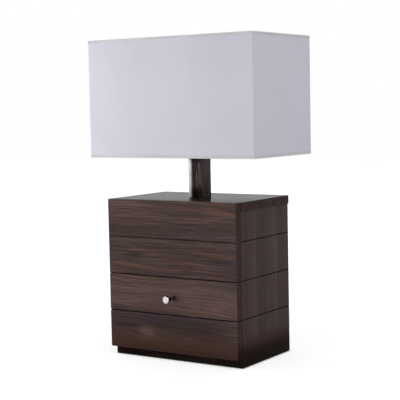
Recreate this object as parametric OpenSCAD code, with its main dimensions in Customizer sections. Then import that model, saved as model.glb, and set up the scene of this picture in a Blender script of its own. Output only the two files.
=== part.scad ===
// Desk lamp that stands on a box base with one drawer.
// Millimetres. +Z is up, +X is to the right, and the drawer opens towards -Y.
// The origin is on the floor, under the middle of the base.

/* [Base box] */
// Width of the box over its side panels
base_w = 264; // [200:1:400]
// Depth of the box, from the face of the drawer to its back
base_d = 176; // [150:1:300]
// Height of the top surface above the floor
base_h = 279; // [240:1:420]
// Thickness of the side panels, shelves, bottom and plinths
panel_t = 12; // [9:0.5:18]
// Thickness of the top board
top_t = 15; // [10:0.5:25]
// Overhang of the top board past each side panel
top_overhang = 2; // [1:0.1:10]
// Thickness of the back panel
back_t = 6; // [4:0.5:12]
// Height of the plinth under the front boards
plinth_h = 16; // [12:1:40]
// Thickness of the felt under the base
felt_t = 1.5; // [0.5:0.1:4]
// How far the felt stays in from the edges of the box
felt_inset = 1; // [0.5:0.5:6]

/* [Front boards] */
// Thickness of the front boards
front_t = 15; // [10:0.5:22]
// How far each end of a front board stands out past the side panel
front_overlap = 0.5; // [0:0.1:2]
// Open gap between two front boards, and width of the grooves that carry its line on
front_gap = 1.8; // [1:0.1:4]
// Depth of the groove across the upper front board
front_groove_depth = 3; // [1:0.5:6]
// Depth of the grooves around the side panels
side_groove_depth = 2; // [1:0.5:5]
// Thickness of the edge band on the ends of the front boards
band_t = 0.8; // [0.4:0.1:2]
// Chamfer along the long edges of the visible boards
edge_ease = 0.6; // [0.2:0.1:2]

/* [Drawer] */
// Space behind the closed drawer
drawer_back_gap = 7.4; // [2:0.1:30]
// Height of the drawer's sides
drawer_side_h = 48; // [30:1:52]
// Thickness of the drawer's sides, inner front and back
drawer_wall = 10; // [8:0.5:12]
// Thickness of the drawer's bottom
drawer_bottom_t = 4; // [3:0.5:6]
// How far the bottom sits in its grooves
bottom_groove = 4; // [2:0.5:6]
// Height of the drawer's bottom above the lower edge of its sides
bottom_rise = 4; // [3:0.5:8]
// Gap between the drawer box and the side panel
drawer_side_gap = 1; // [0.5:0.1:3]
// Gap between the drawer and what it slides on
slide_gap = 0.3; // [0.2:0.1:1]
// Width of the runner strips
runner_w = 14; // [12:1:24]
// Height of the runner strips
runner_h = 5; // [4:0.5:8]
// Gap that the closed drawer front keeps from the box
close_gap = 0.4; // [0.2:0.1:1]
// Length of the drawer box that stays inside when the drawer is open
drawer_keep = 38; // [26:1:80]
// How far the stop catches the drawer's back
stop_catch = 4; // [2:0.5:6]

/* [Knob] */
// Diameter of the knob's head
knob_d = 13; // [12:0.5:24]
// Thickness of the knob's head
knob_head_t = 5; // [3:0.5:10]
// Radius of the knob's rounded rim
knob_rim_r = 1.5; // [0.5:0.1:2]
// Diameter of the flat dish in the knob's face
knob_dish_d = 7; // [4:0.1:8]
// Depth of the dish in the knob's face
knob_dish_depth = 0.4; // [0.2:0.1:0.8]
// Distance from the drawer front to the knob's face
knob_reach = 24; // [16:1:40]
// Diameter of the knob's stem
knob_stem_d = 5; // [4.6:0.1:9]
// Diameter of the foot that the stem stands on
knob_foot_d = 9; // [7:0.5:16]
// Thickness of the knob's foot
knob_foot_t = 1.6; // [1:0.1:4]
// Sideways distance of the knob from the middle of the drawer front
knob_x = 4; // [-20:1:20]
// How far the knob sits below the middle of the drawer front
knob_drop = 2.5; // [0:0.5:10]

/* [Post] */
// Width of the post
post_w = 25; // [20:1:50]
// Depth of the post, with the metal bar on its front
post_d = 38; // [28:1:70]
// Distance of the post's middle in front of the shade's middle
post_ahead = 5.5; // [0:0.5:8]
// Height of the post above the top board
post_rise = 80; // [60:1:140]
// Distance of the shade's middle behind the middle of the base
post_y = 11; // [-10:1:20]
// Depth of the metal bar on the post's front
bar_depth = 9; // [5:0.5:12]
// Radius of the metal bar's front corners
bar_corner = 6; // [2:0.5:8]
// Thickness of the plate that caps the post
cap_plate_t = 2; // [1.5:0.5:4]
// Diameter of the threaded tube through the post
rod_d = 10; // [9:0.5:12]
// Bore of the threaded tube, which takes the lamp's wires
rod_bore_d = 6.4; // [4:0.2:7]
// Clearance around the threaded tube
rod_clear = 0.4; // [0.2:0.1:1]

/* [Shade] */
// Width of the shade
shade_w = 339; // [280:1:480]
// Depth of the shade
shade_d = 197; // [160:1:320]
// Height of the shade
shade_h = 205; // [185:0.5:300]
// Height of the shade's lower edge above the top board
shade_lift = 73; // [55:0.5:78]
// Thickness of the shade's fabric panels
panel_fabric_t = 1; // [0.6:0.1:2]
// Thickness of the clear liner inside the fabric
liner_t = 0.5; // [0.3:0.1:1]
// Height of the hems at the top and bottom of the shade
hem_h = 4; // [3:0.5:15]
// Thickness of the hems
hem_t = 0.4; // [0.2:0.1:1]
// Diameter of the shade's wire frames
frame_wire_d = 3; // [2:0.5:4]
// Depth of the centre ring below the shade's upper edge
ring_drop = 20; // [18:0.5:30]
// Diameter of the centre ring
ring_d = 24; // [18:1:34]
// Thickness of the centre ring
ring_t = 2; // [1:0.5:3]

/* [Harp and finial] */
// Width of the harp between the middles of its wires
harp_w = 104; // [92:1:124]
// Diameter of the harp's wire
harp_wire_d = 3.6; // [3:0.2:5]
// Radius of the bends that widen the harp
harp_bend_r = 30; // [26:1:36]
// Width of the saddle between the middles of its arms
saddle_w = 56; // [50:1:64]
// Length of the sleeves that lock the harp to the saddle
sleeve_len = 16; // [12:1:18]
// How far the sleeves slide up to free the harp
sleeve_lift = 10; // [6:1:12]
// Diameter of the stud that holds the finial
stud_d = 6; // [5:0.5:8]
// Height of the finial above the centre ring
finial_h = 15; // [13:0.5:17]
// Diameter of the finial's ball
finial_d = 12; // [11:0.5:16]

/* [Socket and bulb] */
// Inner diameter of the socket's screw shell
screw_shell_d = 26.6; // [26.4:0.1:27.4]
// Wall of the socket's metal cap and shell
socket_wall = 0.8; // [0.6:0.1:1.2]
// Thickness of the insulating sleeve inside the socket
sleeve_t = 0.8; // [0.6:0.1:1.2]
// Height of the socket's cap
socket_cap_h = 16; // [14:0.5:20]
// Height of the whole socket
socket_h = 52; // [50:1:60]
// Diameter of the bulb's glass
bulb_d = 60; // [50:1:68]
// Height of the bulb's glass above its screw cap
bulb_h = 80; // [74:1:90]
// Thickness of the bulb's glass
glass_t = 1; // [0.8:0.1:2]
// Diameter of the bulb's screw cap over its threads
bulb_cap_d = 25.9; // [25.5:0.1:26]
// Diameter of the switch key's stem
key_stem_d = 4; // [3:0.2:6]
// Distance from the socket's middle to the end of the switch key
key_reach = 36; // [32:1:46]
// Width of the switch key's paddle
key_w = 14; // [10:1:18]

/* [Cord inlet] */
// Bore of the rubber bushing, which takes a mains lead
inlet_bore_d = 7; // [5:0.5:9]
// Diameter of the bushing where it passes the back panel
inlet_neck_d = 12; // [11:0.5:16]
// Height of the cord inlet above the floor
inlet_z = 48; // [44:1:60]

/* [Fixings] */
// Diameter of the wood screws
screw_d = 3; // [2.5:0.1:4]
// Diameter of the wood screws' heads
screw_head_d = 6; // [5:0.5:8]
// Height of the wood screws' heads
screw_head_h = 1.8; // [1.2:0.1:2.5]
// Length of the wood screws
screw_len = 16; // [12:1:20]
// Diameter of the knob's machine screw
knob_screw_d = 4; // [3:0.5:4]
// Clearance around every screw
screw_clear = 0.05; // [0.02:0.01:0.2]

/* [Hidden] */

$fn = 48;
tiny = 0.01;
over = 1; // how far a cutting tool runs past the surface that it cuts

// Colours, as seen on the lamp
walnut = [0.30, 0.23, 0.21];
dark_walnut = [0.22, 0.17, 0.16];
plain_board = [0.55, 0.45, 0.36];
nickel = [0.80, 0.78, 0.76];
brass = [0.80, 0.62, 0.30];
steel = [0.60, 0.60, 0.62];
black = [0.08, 0.08, 0.08];
fabric = [0.93, 0.92, 0.95];
opal = [0.96, 0.95, 0.92, 0.9];

// Levels and planes of the box
half_w = base_w / 2;
face_y = -base_d / 2;
back_y = base_d / 2;
box_y = face_y + front_t;
inner_back_y = back_y - back_t;
inner_half_w = half_w - panel_t;
top_z = base_h - top_t;
bands = 4; // equal bands of the front, the third from the top is the drawer
pitch = (base_h - plinth_h) / bands;
line1_z = base_h - pitch;
line2_z = base_h - 2 * pitch;
line3_z = base_h - 3 * pitch;
front_half_w = half_w + front_overlap;
front_core_half_w = front_half_w - band_t;
bottom_top_z = plinth_h + panel_t;
shelf_top_z = line3_z;
divider_z = line2_z;

// Drawer
drawer_face_back_y = box_y - close_gap;
drawer_z = shelf_top_z + runner_h + slide_gap;
drawer_top_z = drawer_z + drawer_side_h;
drawer_half_w = inner_half_w - drawer_side_gap;
drawer_back_y = inner_back_y - drawer_back_gap;
drawer_travel = drawer_back_y - drawer_face_back_y - drawer_keep;
stop_gap = 0.3; // left between the open drawer and its stop
stop_depth = 8;
stop_w = 30;
stop_y = drawer_back_y - drawer_wall - drawer_travel - stop_gap - stop_depth;
stop_z = drawer_top_z + (divider_z - drawer_top_z) * 0.35;
face_top_z = line2_z - front_gap / 2;
face_bottom_z = line3_z + front_gap / 2;
knob_z = (line2_z + line3_z) / 2 - knob_drop;
knob_screw_grip = 8; // length of the screw inside the knob's stem
knob_screw_head_h = 2;
knob_screw_gap = 0.15; // around the screw where it only passes through
front_screw_x = drawer_half_w * 0.55;
front_screw_z = drawer_z + drawer_side_h * 0.55;

// Wood screws
screw_cover = 3; // wood left beyond a screw's tip
tip_gap = 0.6; // depth of a screw's hole beyond its tip
front_screw_len = drawer_wall + front_t - 2 * screw_cover;
runner_sink = 0.4; // of the screws' heads in the runner strips
runner_screw_len = runner_h + panel_t - runner_sink - screw_cover;

// Back fixings
back_screw_x = inner_half_w * 0.85;
back_screw_levels = [plinth_h + panel_t / 2, shelf_top_z - panel_t / 2, divider_z + panel_t / 2];
runner_screw_ys = [box_y + 0.2 * (inner_back_y - box_y), box_y + 0.8 * (inner_back_y - box_y)];
runner_screw_x = inner_half_w - runner_w / 2;
cable_notch_r = 5;

// Post, threaded tube and socket
post_top_z = base_h + post_rise;
post_front_y = post_y - post_ahead - post_d / 2;
post_back_y = post_front_y + post_d;
core_front_y = post_front_y + bar_depth;
plate_top_z = post_top_z + cap_plate_t;
saddle_t = 2;
socket_z = plate_top_z + saddle_t;
washer_t = 2;
washer_d = 28;
nut_h = 5;
nut_flats = rod_d * 1.5;
rod_hole_r = rod_d / 2 + rod_clear;
rod_tail = 3; // length of the tube below its nut
thread_clear = 0.05;
rod_bottom_z = top_z - washer_t - nut_h - rod_tail;

// Socket, from its middle outwards
fit_gap = 0.2; // between nested tubes
screw_shell_r = screw_shell_d / 2;
screw_shell_t = 0.5;
core_r = screw_shell_r + screw_shell_t + 1;
sleeve_in_r = core_r + fit_gap;
shell_in_r = sleeve_in_r + sleeve_t + fit_gap;
shell_r = shell_in_r + socket_wall;
cap_in_r = shell_r + fit_gap;
cap_r = cap_in_r + socket_wall;
neck_wall = 3;
neck_r = rod_d / 2 + neck_wall;
neck_h = 7;
cap_flare = 1.5; // rise of the cap's floor from the neck to its wall
socket_shell_z = socket_z + neck_h + cap_flare + socket_wall + fit_gap;
core_z = socket_shell_z + 1.5;
rod_top_z = core_z - 2;
key_rise = 1.5; // between the cap's rim and the key's stem
core_roof = 2; // of the core above the key's stem
key_z = socket_z + socket_cap_h + key_rise + key_stem_d / 2;
core_top_z = key_z + key_stem_d / 2 + core_roof;
socket_top_z = socket_z + socket_h;
contact_t = 0.8;
contact_r = 4;
key_paddle_t = 3;
key_paddle_len = 12;
key_clear = 0.08;
key_slot_clear = 0.4; // around the key where it passes the shell and sleeve

// Bulb
bulb_show = 1; // of the screw cap above the socket
bulb_tip_space = 8; // from the core's top to the screw cap's lower edge
bulb_cap_top_z = socket_top_z + bulb_show;
bulb_cap_z = core_top_z + bulb_tip_space;
bulb_cap_h = bulb_cap_top_z - bulb_cap_z;
contact_gap = 0.3;
bulb_tip_z = core_top_z + contact_t + contact_gap;
bulb_neck_inset = 0.4;
bulb_neck_r = bulb_cap_d / 2 - bulb_neck_inset;
bulb_neck_h = 4; // plain neck of the glass above the screw cap
bulb_swell_angle = 42; // below the globe's middle, where the neck meets it
bulb_centre_z = bulb_cap_top_z + bulb_h - bulb_d / 2;
bulb_cap_wall = 0.5;
thread_pitch = 3.6;
thread_depth = 0.6;
thread_end = 4; // plain height at the ends of the screw cap
bulb_threads = floor((bulb_cap_h - thread_end) / thread_pitch);

// Shade
shade_z = base_h + shade_lift;
shade_top_z = shade_z + shade_h;
shade_half_w = shade_w / 2;
shade_half_d = shade_d / 2;
skin_t = panel_fabric_t + liner_t;
wire_r = frame_wire_d / 2;
wire_gap = 0.15;
frame_half_w = shade_half_w - skin_t - wire_gap - wire_r;
frame_half_d = shade_half_d - skin_t - wire_gap - wire_r;
frame_inset = 1.5; // of the wire from the shade's edge
frame_rise = wire_r + frame_inset;
ring_z = shade_top_z - ring_drop;

// Harp
saddle_arm_w = 10;
saddle_tab_w = 4;
saddle_arm_t = 1.6;
shoulder_z = socket_z + 6;
saddle_tab_h = 8;
tab_top_z = shoulder_z + saddle_tab_h;
harp_wire_r = harp_wire_d / 2;
harp_sleeve_gap = 0.6;
harp_sleeve_wall = 0.9;
harp_sleeve_in_r = harp_wire_r + harp_sleeve_gap;
harp_sleeve_out_r = harp_sleeve_in_r + harp_sleeve_wall;
sleeve_seat = 0.2; // gap between a sleeve and its shoulder
sleeve_z = shoulder_z + sleeve_seat;
leg_spare = 2; // of the straight leg above the raised sleeve
leg_top_z = sleeve_z + sleeve_len + sleeve_lift + leg_spare;
bend_angle = acos(1 - (harp_w - saddle_w) / 4 / harp_bend_r);
bend_h = 2 * harp_bend_r * sin(bend_angle);
boss_h = 5;
boss_wall = 4;
boss_r = stud_d / 2 + boss_wall;
boss_z = ring_z - boss_h;
arc_z = boss_z - harp_w / 2;
stud_rise = 9; // of the stud above the ring
stud_top_z = ring_z + ring_t + stud_rise;
ring_clear = 0.3;
swage = 0.05; // of the harp's wire where its lengths are joined

// A block between two corners
module block(low, high) {
  translate(low)
    cube(high - low);
}

// Points along an arc of a circle in a plane, from angle a0 to a1
function arc_points(centre, r, a0, a1, steps) = [
  for (i = [0 : steps])
    let (a = a0 + (a1 - a0) * i / steps)
      [centre[0] + r * cos(a), centre[1] + r * sin(a)]
];

// A round bar between two points
module bar_between(from, to, r) {
  span = to - from;
  length = norm(span);
  turn = atan2(span[1], span[0]);
  tilt = acos(span[2] / length);
  translate(from)
    rotate([0, tilt, turn])
      cylinder(r = r, h = length);
}

// A board that lies across the front, with its long front edges chamfered
module front_board(half_len, y0, y1, z0, z1) {
  translate([-half_len, 0, 0])
    rotate([90, 0, 90])
      linear_extrude(2 * half_len)
        polygon([
          [y1, z0], [y1, z1], [y0 + edge_ease, z1], [y0, z1 - edge_ease],
          [y0, z0 + edge_ease], [y0 + edge_ease, z0]
        ]);
}

// The two bands that close the ends of a front board
module end_bands(y0, y1, z0, z1) {
  for (side = [-1, 1])
    translate([side * (front_half_w + front_core_half_w) / 2, 0, 0])
      front_board(band_t / 2, y0, y1, z0, z1);
}

// A hole for the threaded tube through whatever lies between two levels
module tube_hole(z0, z1) {
  translate([0, post_y, z0 - over])
    cylinder(r = rod_hole_r, h = z1 - z0 + 2 * over);
}

// A screw along +Y: its head lies in front of the plane y = 0
module screw_y(length, head_r, head_h, shank_r) {
  rotate([-90, 0, 0]) {
    translate([0, 0, -head_h])
      cylinder(r = head_r, h = head_h);
    cylinder(r = shank_r, h = length);
  }
}

// The holes of the back panel's screws, wherever they reach
module back_screw_holes() {
  for (side = [-1, 1])
    for (z = back_screw_levels)
      translate([side * back_screw_x, back_y + over, z])
        rotate([90, 0, 0])
          cylinder(r = screw_d / 2 + screw_clear, h = over + screw_len + tip_gap);
}

// The holes of the runner strips' screws, wherever they reach
module runner_screw_holes() {
  for (side = [-1, 1])
    for (y = runner_screw_ys)
      translate([side * runner_screw_x, y, shelf_top_z + runner_h])
        mirror([0, 0, 1])
          translate([0, 0, -over]) {
            cylinder(r = screw_d / 2 + screw_clear, h = over + runner_sink + runner_screw_len + tip_gap);
            cylinder(r = screw_head_d / 2 + screw_clear, h = over + runner_sink + screw_head_h);
          }
}

// The notch at a shelf's rear edge, which lets the wires pass
module cable_notch(z0, z1) {
  translate([0, inner_back_y, z0 - over])
    cylinder(r = cable_notch_r, h = z1 - z0 + 2 * over);
}

// ---- Box ----

module top_board() {
  half = half_w + top_overhang;
  e = edge_ease;
  color(dark_walnut)
    difference() {
      translate([0, back_y, 0])
        rotate([90, 0, 0])
          linear_extrude(back_y - box_y)
            polygon([
              [-half + e, top_z], [half - e, top_z], [half, top_z + e], [half, base_h - e],
              [half - e, base_h], [-half + e, base_h], [-half, base_h - e], [-half, top_z + e]
            ]);
      tube_hole(top_z, base_h);
    }
}

// The right side panel; the left one is its mirror image
module side_panel() {
  difference() {
    block([inner_half_w, box_y, felt_t], [half_w, back_y, top_z]);
    for (z = [line1_z, line2_z, line3_z])
      block([half_w - side_groove_depth, box_y - over, z - front_gap / 2],
            [half_w + over, back_y + over, z + front_gap / 2]);
  }
}

module right_side_panel() {
  color(walnut)
    side_panel();
}

module left_side_panel() {
  color(walnut)
    mirror([1, 0, 0])
      side_panel();
}

module back_panel() {
  color(dark_walnut)
    difference() {
      block([-inner_half_w, inner_back_y, plinth_h], [inner_half_w, back_y, top_z]);
      back_screw_holes();
      translate([0, inner_back_y - over, inlet_z])
        rotate([-90, 0, 0])
          cylinder(d = inlet_neck_d, h = back_t + 2 * over);
    }
}

// A level board between the side panels, with the back panel's screws in its rear edge
module level_board(z0, z1) {
  difference() {
    block([-inner_half_w, box_y, z0], [inner_half_w, inner_back_y, z1]);
    back_screw_holes();
  }
}

module bottom_board() {
  color(plain_board)
    level_board(plinth_h, bottom_top_z);
}

module drawer_shelf() {
  color(plain_board)
    difference() {
      level_board(shelf_top_z - panel_t, shelf_top_z);
      runner_screw_holes();
      cable_notch(shelf_top_z - panel_t, shelf_top_z);
    }
}

module upper_divider() {
  color(plain_board)
    difference() {
      level_board(divider_z, divider_z + panel_t);
      cable_notch(divider_z, divider_z + panel_t);
    }
}

module front_plinth() {
  color(dark_walnut)
    block([-inner_half_w, box_y, felt_t], [inner_half_w, box_y + panel_t, plinth_h]);
}

module rear_plinth() {
  color(dark_walnut)
    block([-inner_half_w, back_y - panel_t, felt_t], [inner_half_w, back_y, plinth_h]);
}

module upper_front() {
  color(walnut)
    difference() {
      front_board(front_core_half_w, face_y, box_y, line2_z + front_gap / 2, base_h);
      block([-half_w - over, face_y - over, line1_z - front_gap / 2],
            [half_w + over, face_y + front_groove_depth, line1_z + front_gap / 2]);
    }
}

module lower_front() {
  color(walnut)
    front_board(front_core_half_w, face_y, box_y, plinth_h, line3_z - front_gap / 2);
}

module front_end_bands() {
  color(dark_walnut) {
    end_bands(face_y, box_y, line2_z + front_gap / 2, base_h);
    end_bands(face_y, box_y, plinth_h, line3_z - front_gap / 2);
  }
}

module base_felt() {
  color(black)
    block([-half_w + felt_inset, box_y + felt_inset, 0],
          [half_w - felt_inset, back_y - felt_inset, felt_t]);
}

// The right runner strip; the left one is its mirror image
module runner() {
  difference() {
    block([inner_half_w - runner_w, box_y, shelf_top_z],
          [inner_half_w, inner_back_y, shelf_top_z + runner_h]);
    runner_screw_holes();
  }
}

module right_runner() {
  color(plain_board)
    runner();
}

module left_runner() {
  color(plain_board)
    mirror([1, 0, 0])
      runner();
}

module runner_screws() {
  color(steel)
    for (side = [-1, 1])
      for (y = runner_screw_ys)
        translate([side * runner_screw_x, y, shelf_top_z + runner_h - runner_sink])
          mirror([0, 0, 1]) {
            cylinder(r = screw_head_d / 2, h = screw_head_h);
            cylinder(r = screw_d / 2, h = runner_screw_len);
          }
}

module drawer_stop() {
  color(plain_board)
    block([-stop_w / 2, stop_y, stop_z], [stop_w / 2, stop_y + stop_depth, divider_z]);
}

module back_panel_screws() {
  color(steel)
    for (side = [-1, 1])
      for (z = back_screw_levels)
        translate([side * back_screw_x, back_y, z])
          mirror([0, 1, 0])
            screw_y(screw_len, screw_head_d / 2, screw_head_h, screw_d / 2);
}

// Rubber bushing that snaps into the back panel: two flanges and a neck between them
module cord_bushing() {
  flange_t = 2;
  flange_w = 2.5;
  flange_r = inlet_neck_d / 2 + flange_w;
  taper = 0.6;
  neck_gap = 0.1;
  bore_r = inlet_bore_d / 2;
  neck = inlet_neck_d / 2 - neck_gap;
  color(black)
    translate([0, inner_back_y, inlet_z])
      rotate([-90, 0, 0])
        rotate_extrude()
          polygon([
            [bore_r, -flange_t], [flange_r - taper, -flange_t], [flange_r, 0], [neck, 0],
            [neck, back_t], [flange_r, back_t], [flange_r - taper, back_t + flange_t],
            [bore_r, back_t + flange_t]
          ]);
}

// ---- Post ----

module post_core() {
  color(walnut)
    difference() {
      block([-post_w / 2, core_front_y, base_h], [post_w / 2, post_back_y, post_top_z]);
      tube_hole(base_h, post_top_z);
    }
}

module post_front_bar() {
  half = post_w / 2;
  front = post_front_y;
  color(nickel)
    translate([0, 0, base_h])
      linear_extrude(post_rise)
        polygon(concat(
          [[half, core_front_y], [-half, core_front_y]],
          arc_points([-half + bar_corner, front + bar_corner], bar_corner, 180, 270, 10),
          arc_points([half - bar_corner, front + bar_corner], bar_corner, 270, 360, 10)
        ));
}

module post_cap_plate() {
  color(nickel)
    difference() {
      block([-post_w / 2, post_front_y, post_top_z], [post_w / 2, post_back_y, plate_top_z]);
      tube_hole(post_top_z, plate_top_z);
    }
}

module threaded_tube() {
  color(brass)
    translate([0, post_y, rod_bottom_z])
      difference() {
        cylinder(d = rod_d, h = rod_top_z - rod_bottom_z);
        translate([0, 0, -over])
          cylinder(d = rod_bore_d, h = rod_top_z - rod_bottom_z + 2 * over);
      }
}

module tube_washer() {
  color(steel)
    translate([0, post_y, top_z - washer_t])
      difference() {
        cylinder(d = washer_d, h = washer_t);
        translate([0, 0, -over])
          cylinder(r = rod_hole_r, h = washer_t + 2 * over);
      }
}

module tube_nut() {
  color(brass)
    translate([0, post_y, top_z - washer_t - nut_h])
      difference() {
        cylinder(r = nut_flats / sqrt(3), h = nut_h, $fn = 6);
        translate([0, 0, -over])
          cylinder(r = rod_d / 2 + thread_clear, h = nut_h + 2 * over);
      }
}

// ---- Harp ----

module harp_saddle() {
  arm_x = saddle_w / 2;
  color(brass)
    translate([0, post_y, 0])
      difference() {
        union() {
          block([-arm_x - saddle_arm_t / 2, -saddle_arm_w / 2, plate_top_z],
                [arm_x + saddle_arm_t / 2, saddle_arm_w / 2, socket_z]);
          for (side = [-1, 1])
            translate([side * arm_x - saddle_arm_t / 2, 0, 0]) {
              block([0, -saddle_arm_w / 2, plate_top_z], [saddle_arm_t, saddle_arm_w / 2, shoulder_z]);
              block([0, -saddle_tab_w / 2, shoulder_z - over], [saddle_arm_t, saddle_tab_w / 2, tab_top_z]);
            }
          translate([0, 0, plate_top_z])
            cylinder(r = neck_r, h = saddle_t);
        }
        translate([0, 0, plate_top_z - over])
          cylinder(r = rod_hole_r, h = saddle_t + 2 * over);
      }
}

// A bend of the harp's wire: its middle, and the angle at which it starts
module harp_bend(x, z, start) {
  translate([x, 0, z])
    rotate([90, 0, 0])
      rotate([0, 0, start])
        rotate_extrude(angle = bend_angle)
          translate([harp_bend_r, 0])
            circle(r = harp_wire_r);
}

// The right side of the harp's wire: leg, two bends and straight, joined by slight swages
module harp_side() {
  leg_x = saddle_w / 2;
  side_x = harp_w / 2;
  bend_top_z = leg_top_z + bend_h;
  joints = [
    [leg_x, leg_top_z], [(leg_x + side_x) / 2, leg_top_z + bend_h / 2],
    [side_x, bend_top_z], [side_x, arc_z]
  ];
  translate([leg_x, 0, tab_top_z])
    cylinder(r = harp_wire_r, h = leg_top_z - tab_top_z);
  harp_bend(leg_x + harp_bend_r, leg_top_z, 180 - bend_angle);
  harp_bend(side_x - harp_bend_r, bend_top_z, -bend_angle);
  translate([side_x, 0, bend_top_z])
    cylinder(r = harp_wire_r, h = arc_z - bend_top_z);
  for (joint = joints)
    translate([joint[0], 0, joint[1]])
      sphere(r = harp_wire_r + swage);
}

module harp() {
  color(brass)
    translate([0, post_y, 0]) {
      harp_side();
      mirror([1, 0, 0])
        harp_side();
      translate([0, 0, arc_z])
        rotate([90, 0, 0])
          rotate_extrude(angle = 180)
            translate([harp_w / 2, 0])
              circle(r = harp_wire_r);
      translate([0, 0, boss_z])
        cylinder(r = boss_r, h = boss_h);
      translate([0, 0, ring_z - tiny])
        cylinder(d = stud_d, h = stud_top_z - ring_z);
    }
}

module harp_sleeves() {
  color(brass)
    for (side = [-1, 1])
      translate([side * saddle_w / 2, post_y, sleeve_z])
        difference() {
          cylinder(r = harp_sleeve_out_r, h = sleeve_len);
          translate([0, 0, -over])
            cylinder(r = harp_sleeve_in_r, h = sleeve_len + 2 * over);
        }
}

// ---- Socket ----

// A cup on a narrow neck, which screws onto the threaded tube
module socket_cap() {
  tube_r = rod_d / 2 + thread_clear;
  shoulder_h = neck_h - 2;
  rim_floor = neck_h + cap_flare;
  color(nickel)
    translate([0, post_y, socket_z])
      rotate_extrude()
        polygon([
          [tube_r, 0], [neck_r, 0], [neck_r, shoulder_h], [cap_r, rim_floor], [cap_r, socket_cap_h],
          [cap_in_r, socket_cap_h], [cap_in_r, rim_floor + socket_wall], [tube_r, neck_h + socket_wall]
        ]);
}

module socket_shell() {
  bead = 0.8;
  height = socket_top_z - socket_shell_z;
  color(nickel)
    difference() {
      translate([0, post_y, socket_shell_z])
        rotate_extrude()
          polygon([
            [shell_in_r, 0], [shell_r, 0], [shell_r, height - 2 * bead],
            [shell_r + bead, height - bead], [shell_r, height], [shell_in_r, height]
          ]);
      key_hole(key_stem_d / 2 + key_slot_clear);
    }
}

// A hole along -Y for the switch key's stem
module key_hole(r) {
  translate([0, post_y, key_z])
    rotate([90, 0, 0])
      cylinder(r = r, h = cap_r + over);
}

module socket_sleeve() {
  rim_drop = 1;
  height = socket_top_z - rim_drop - socket_shell_z;
  color(plain_board)
    difference() {
      translate([0, post_y, socket_shell_z])
        difference() {
          cylinder(r = sleeve_in_r + sleeve_t, h = height);
          translate([0, 0, -over])
            cylinder(r = sleeve_in_r, h = height + 2 * over);
        }
      key_hole(key_stem_d / 2 + key_slot_clear);
    }
}

// The moulded block that holds the switch, the screw shell and the contact
module socket_core() {
  wire_recess_r = rod_bore_d / 2 + 1;
  wire_recess = 2;
  color(black)
    difference() {
      translate([0, post_y, core_z])
        cylinder(r = core_r, h = core_top_z - core_z);
      translate([0, post_y, core_z - over])
        cylinder(r = wire_recess_r, h = over + wire_recess);
      key_hole(key_stem_d / 2 + key_clear);
    }
}

// A brass cup with rolled threads, open at the top
module screw_shell() {
  floor_t = 0.6;
  floor_hole_r = contact_r + 2;
  rim_drop = 1;
  height = socket_top_z - rim_drop - core_top_z;
  color(brass)
    translate([0, post_y, core_top_z])
      rotate_extrude()
        polygon([
          [floor_hole_r, 0], [screw_shell_r + screw_shell_t, 0], [screw_shell_r + screw_shell_t, height],
          [screw_shell_r, height], [screw_shell_r, floor_t], [floor_hole_r, floor_t]
        ]);
}

module centre_contact() {
  color(brass)
    translate([0, post_y, core_top_z])
      cylinder(r = contact_r, h = contact_t);
}

// A round stem with a flat oval paddle, which turns about Y
module switch_key() {
  stem_in = 4;
  paddle_y = key_reach - key_paddle_len;
  color(black)
    translate([0, post_y, key_z])
      rotate([90, 0, 0]) {
        translate([0, 0, stem_in])
          cylinder(d = key_stem_d, h = paddle_y - stem_in + over);
        translate([0, 0, paddle_y])
          linear_extrude(key_paddle_len)
            polygon(concat(
              arc_points([key_w / 2 - key_paddle_t / 2, 0], key_paddle_t / 2, -90, 90, 8),
              arc_points([-key_w / 2 + key_paddle_t / 2, 0], key_paddle_t / 2, 90, 270, 8)
            ));
      }
}

// ---- Bulb ----

// Outline of the glass from the neck up to the crown, drawn in by the given amount
function glass_outline(inset, low_z) = concat(
  [[0, low_z], [bulb_neck_r - inset, low_z], [bulb_neck_r - inset, bulb_cap_top_z + bulb_neck_h]],
  arc_points([0, bulb_centre_z], bulb_d / 2 - inset, -bulb_swell_angle, 90, 24)
);

module bulb_glass() {
  color(opal)
    translate([0, post_y, 0])
      difference() {
        rotate_extrude()
          polygon(glass_outline(0, bulb_cap_top_z));
        rotate_extrude()
          polygon(glass_outline(glass_t, bulb_cap_top_z - over));
      }
}

// A thin metal cup with rolled threads; the glass stands on its upper rim
module bulb_screw_cap() {
  crest = bulb_cap_d / 2;
  root = crest - thread_depth;
  rim_h = 1;
  thread = [[2, 0], [3, 1], [4, 1], [5, 0]]; // in sixths of the pitch, and root or crest
  color(nickel)
    translate([0, post_y, bulb_cap_z])
      rotate_extrude()
        polygon(concat(
          [[root - bulb_cap_wall, 0], [root, 0]],
          [for (i = [0 : bulb_threads - 1]) for (step = thread)
             [root + step[1] * thread_depth, (i + step[0] / 6) * thread_pitch]],
          [[root, bulb_cap_h - rim_h], [crest, bulb_cap_h - rim_h], [crest, bulb_cap_h],
           [bulb_neck_r - glass_t, bulb_cap_h], [bulb_neck_r - glass_t, bulb_cap_h - rim_h],
           [root - bulb_cap_wall, bulb_cap_h - rim_h - bulb_cap_wall]]
        ));
}

// The black glass cone under the screw cap, with its solder tip
module bulb_insulator() {
  seat_r = bulb_cap_d / 2 - thread_depth - bulb_cap_wall;
  seat_h = 1.5;
  tip_r = contact_r - 0.5;
  tip_h = 1;
  color(black)
    translate([0, post_y, 0])
      rotate_extrude()
        polygon([
          [0, bulb_tip_z], [tip_r, bulb_tip_z], [contact_r, bulb_tip_z + tip_h],
          [seat_r - 2, bulb_cap_z - 0.5], [seat_r, bulb_cap_z], [seat_r, bulb_cap_z + seat_h],
          [0, bulb_cap_z + seat_h]
        ]);
}

// ---- Shade ----

module shade_wide_panel() {
  block([-shade_half_w, shade_half_d - panel_fabric_t, shade_z],
        [shade_half_w, shade_half_d, shade_top_z]);
}

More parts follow.
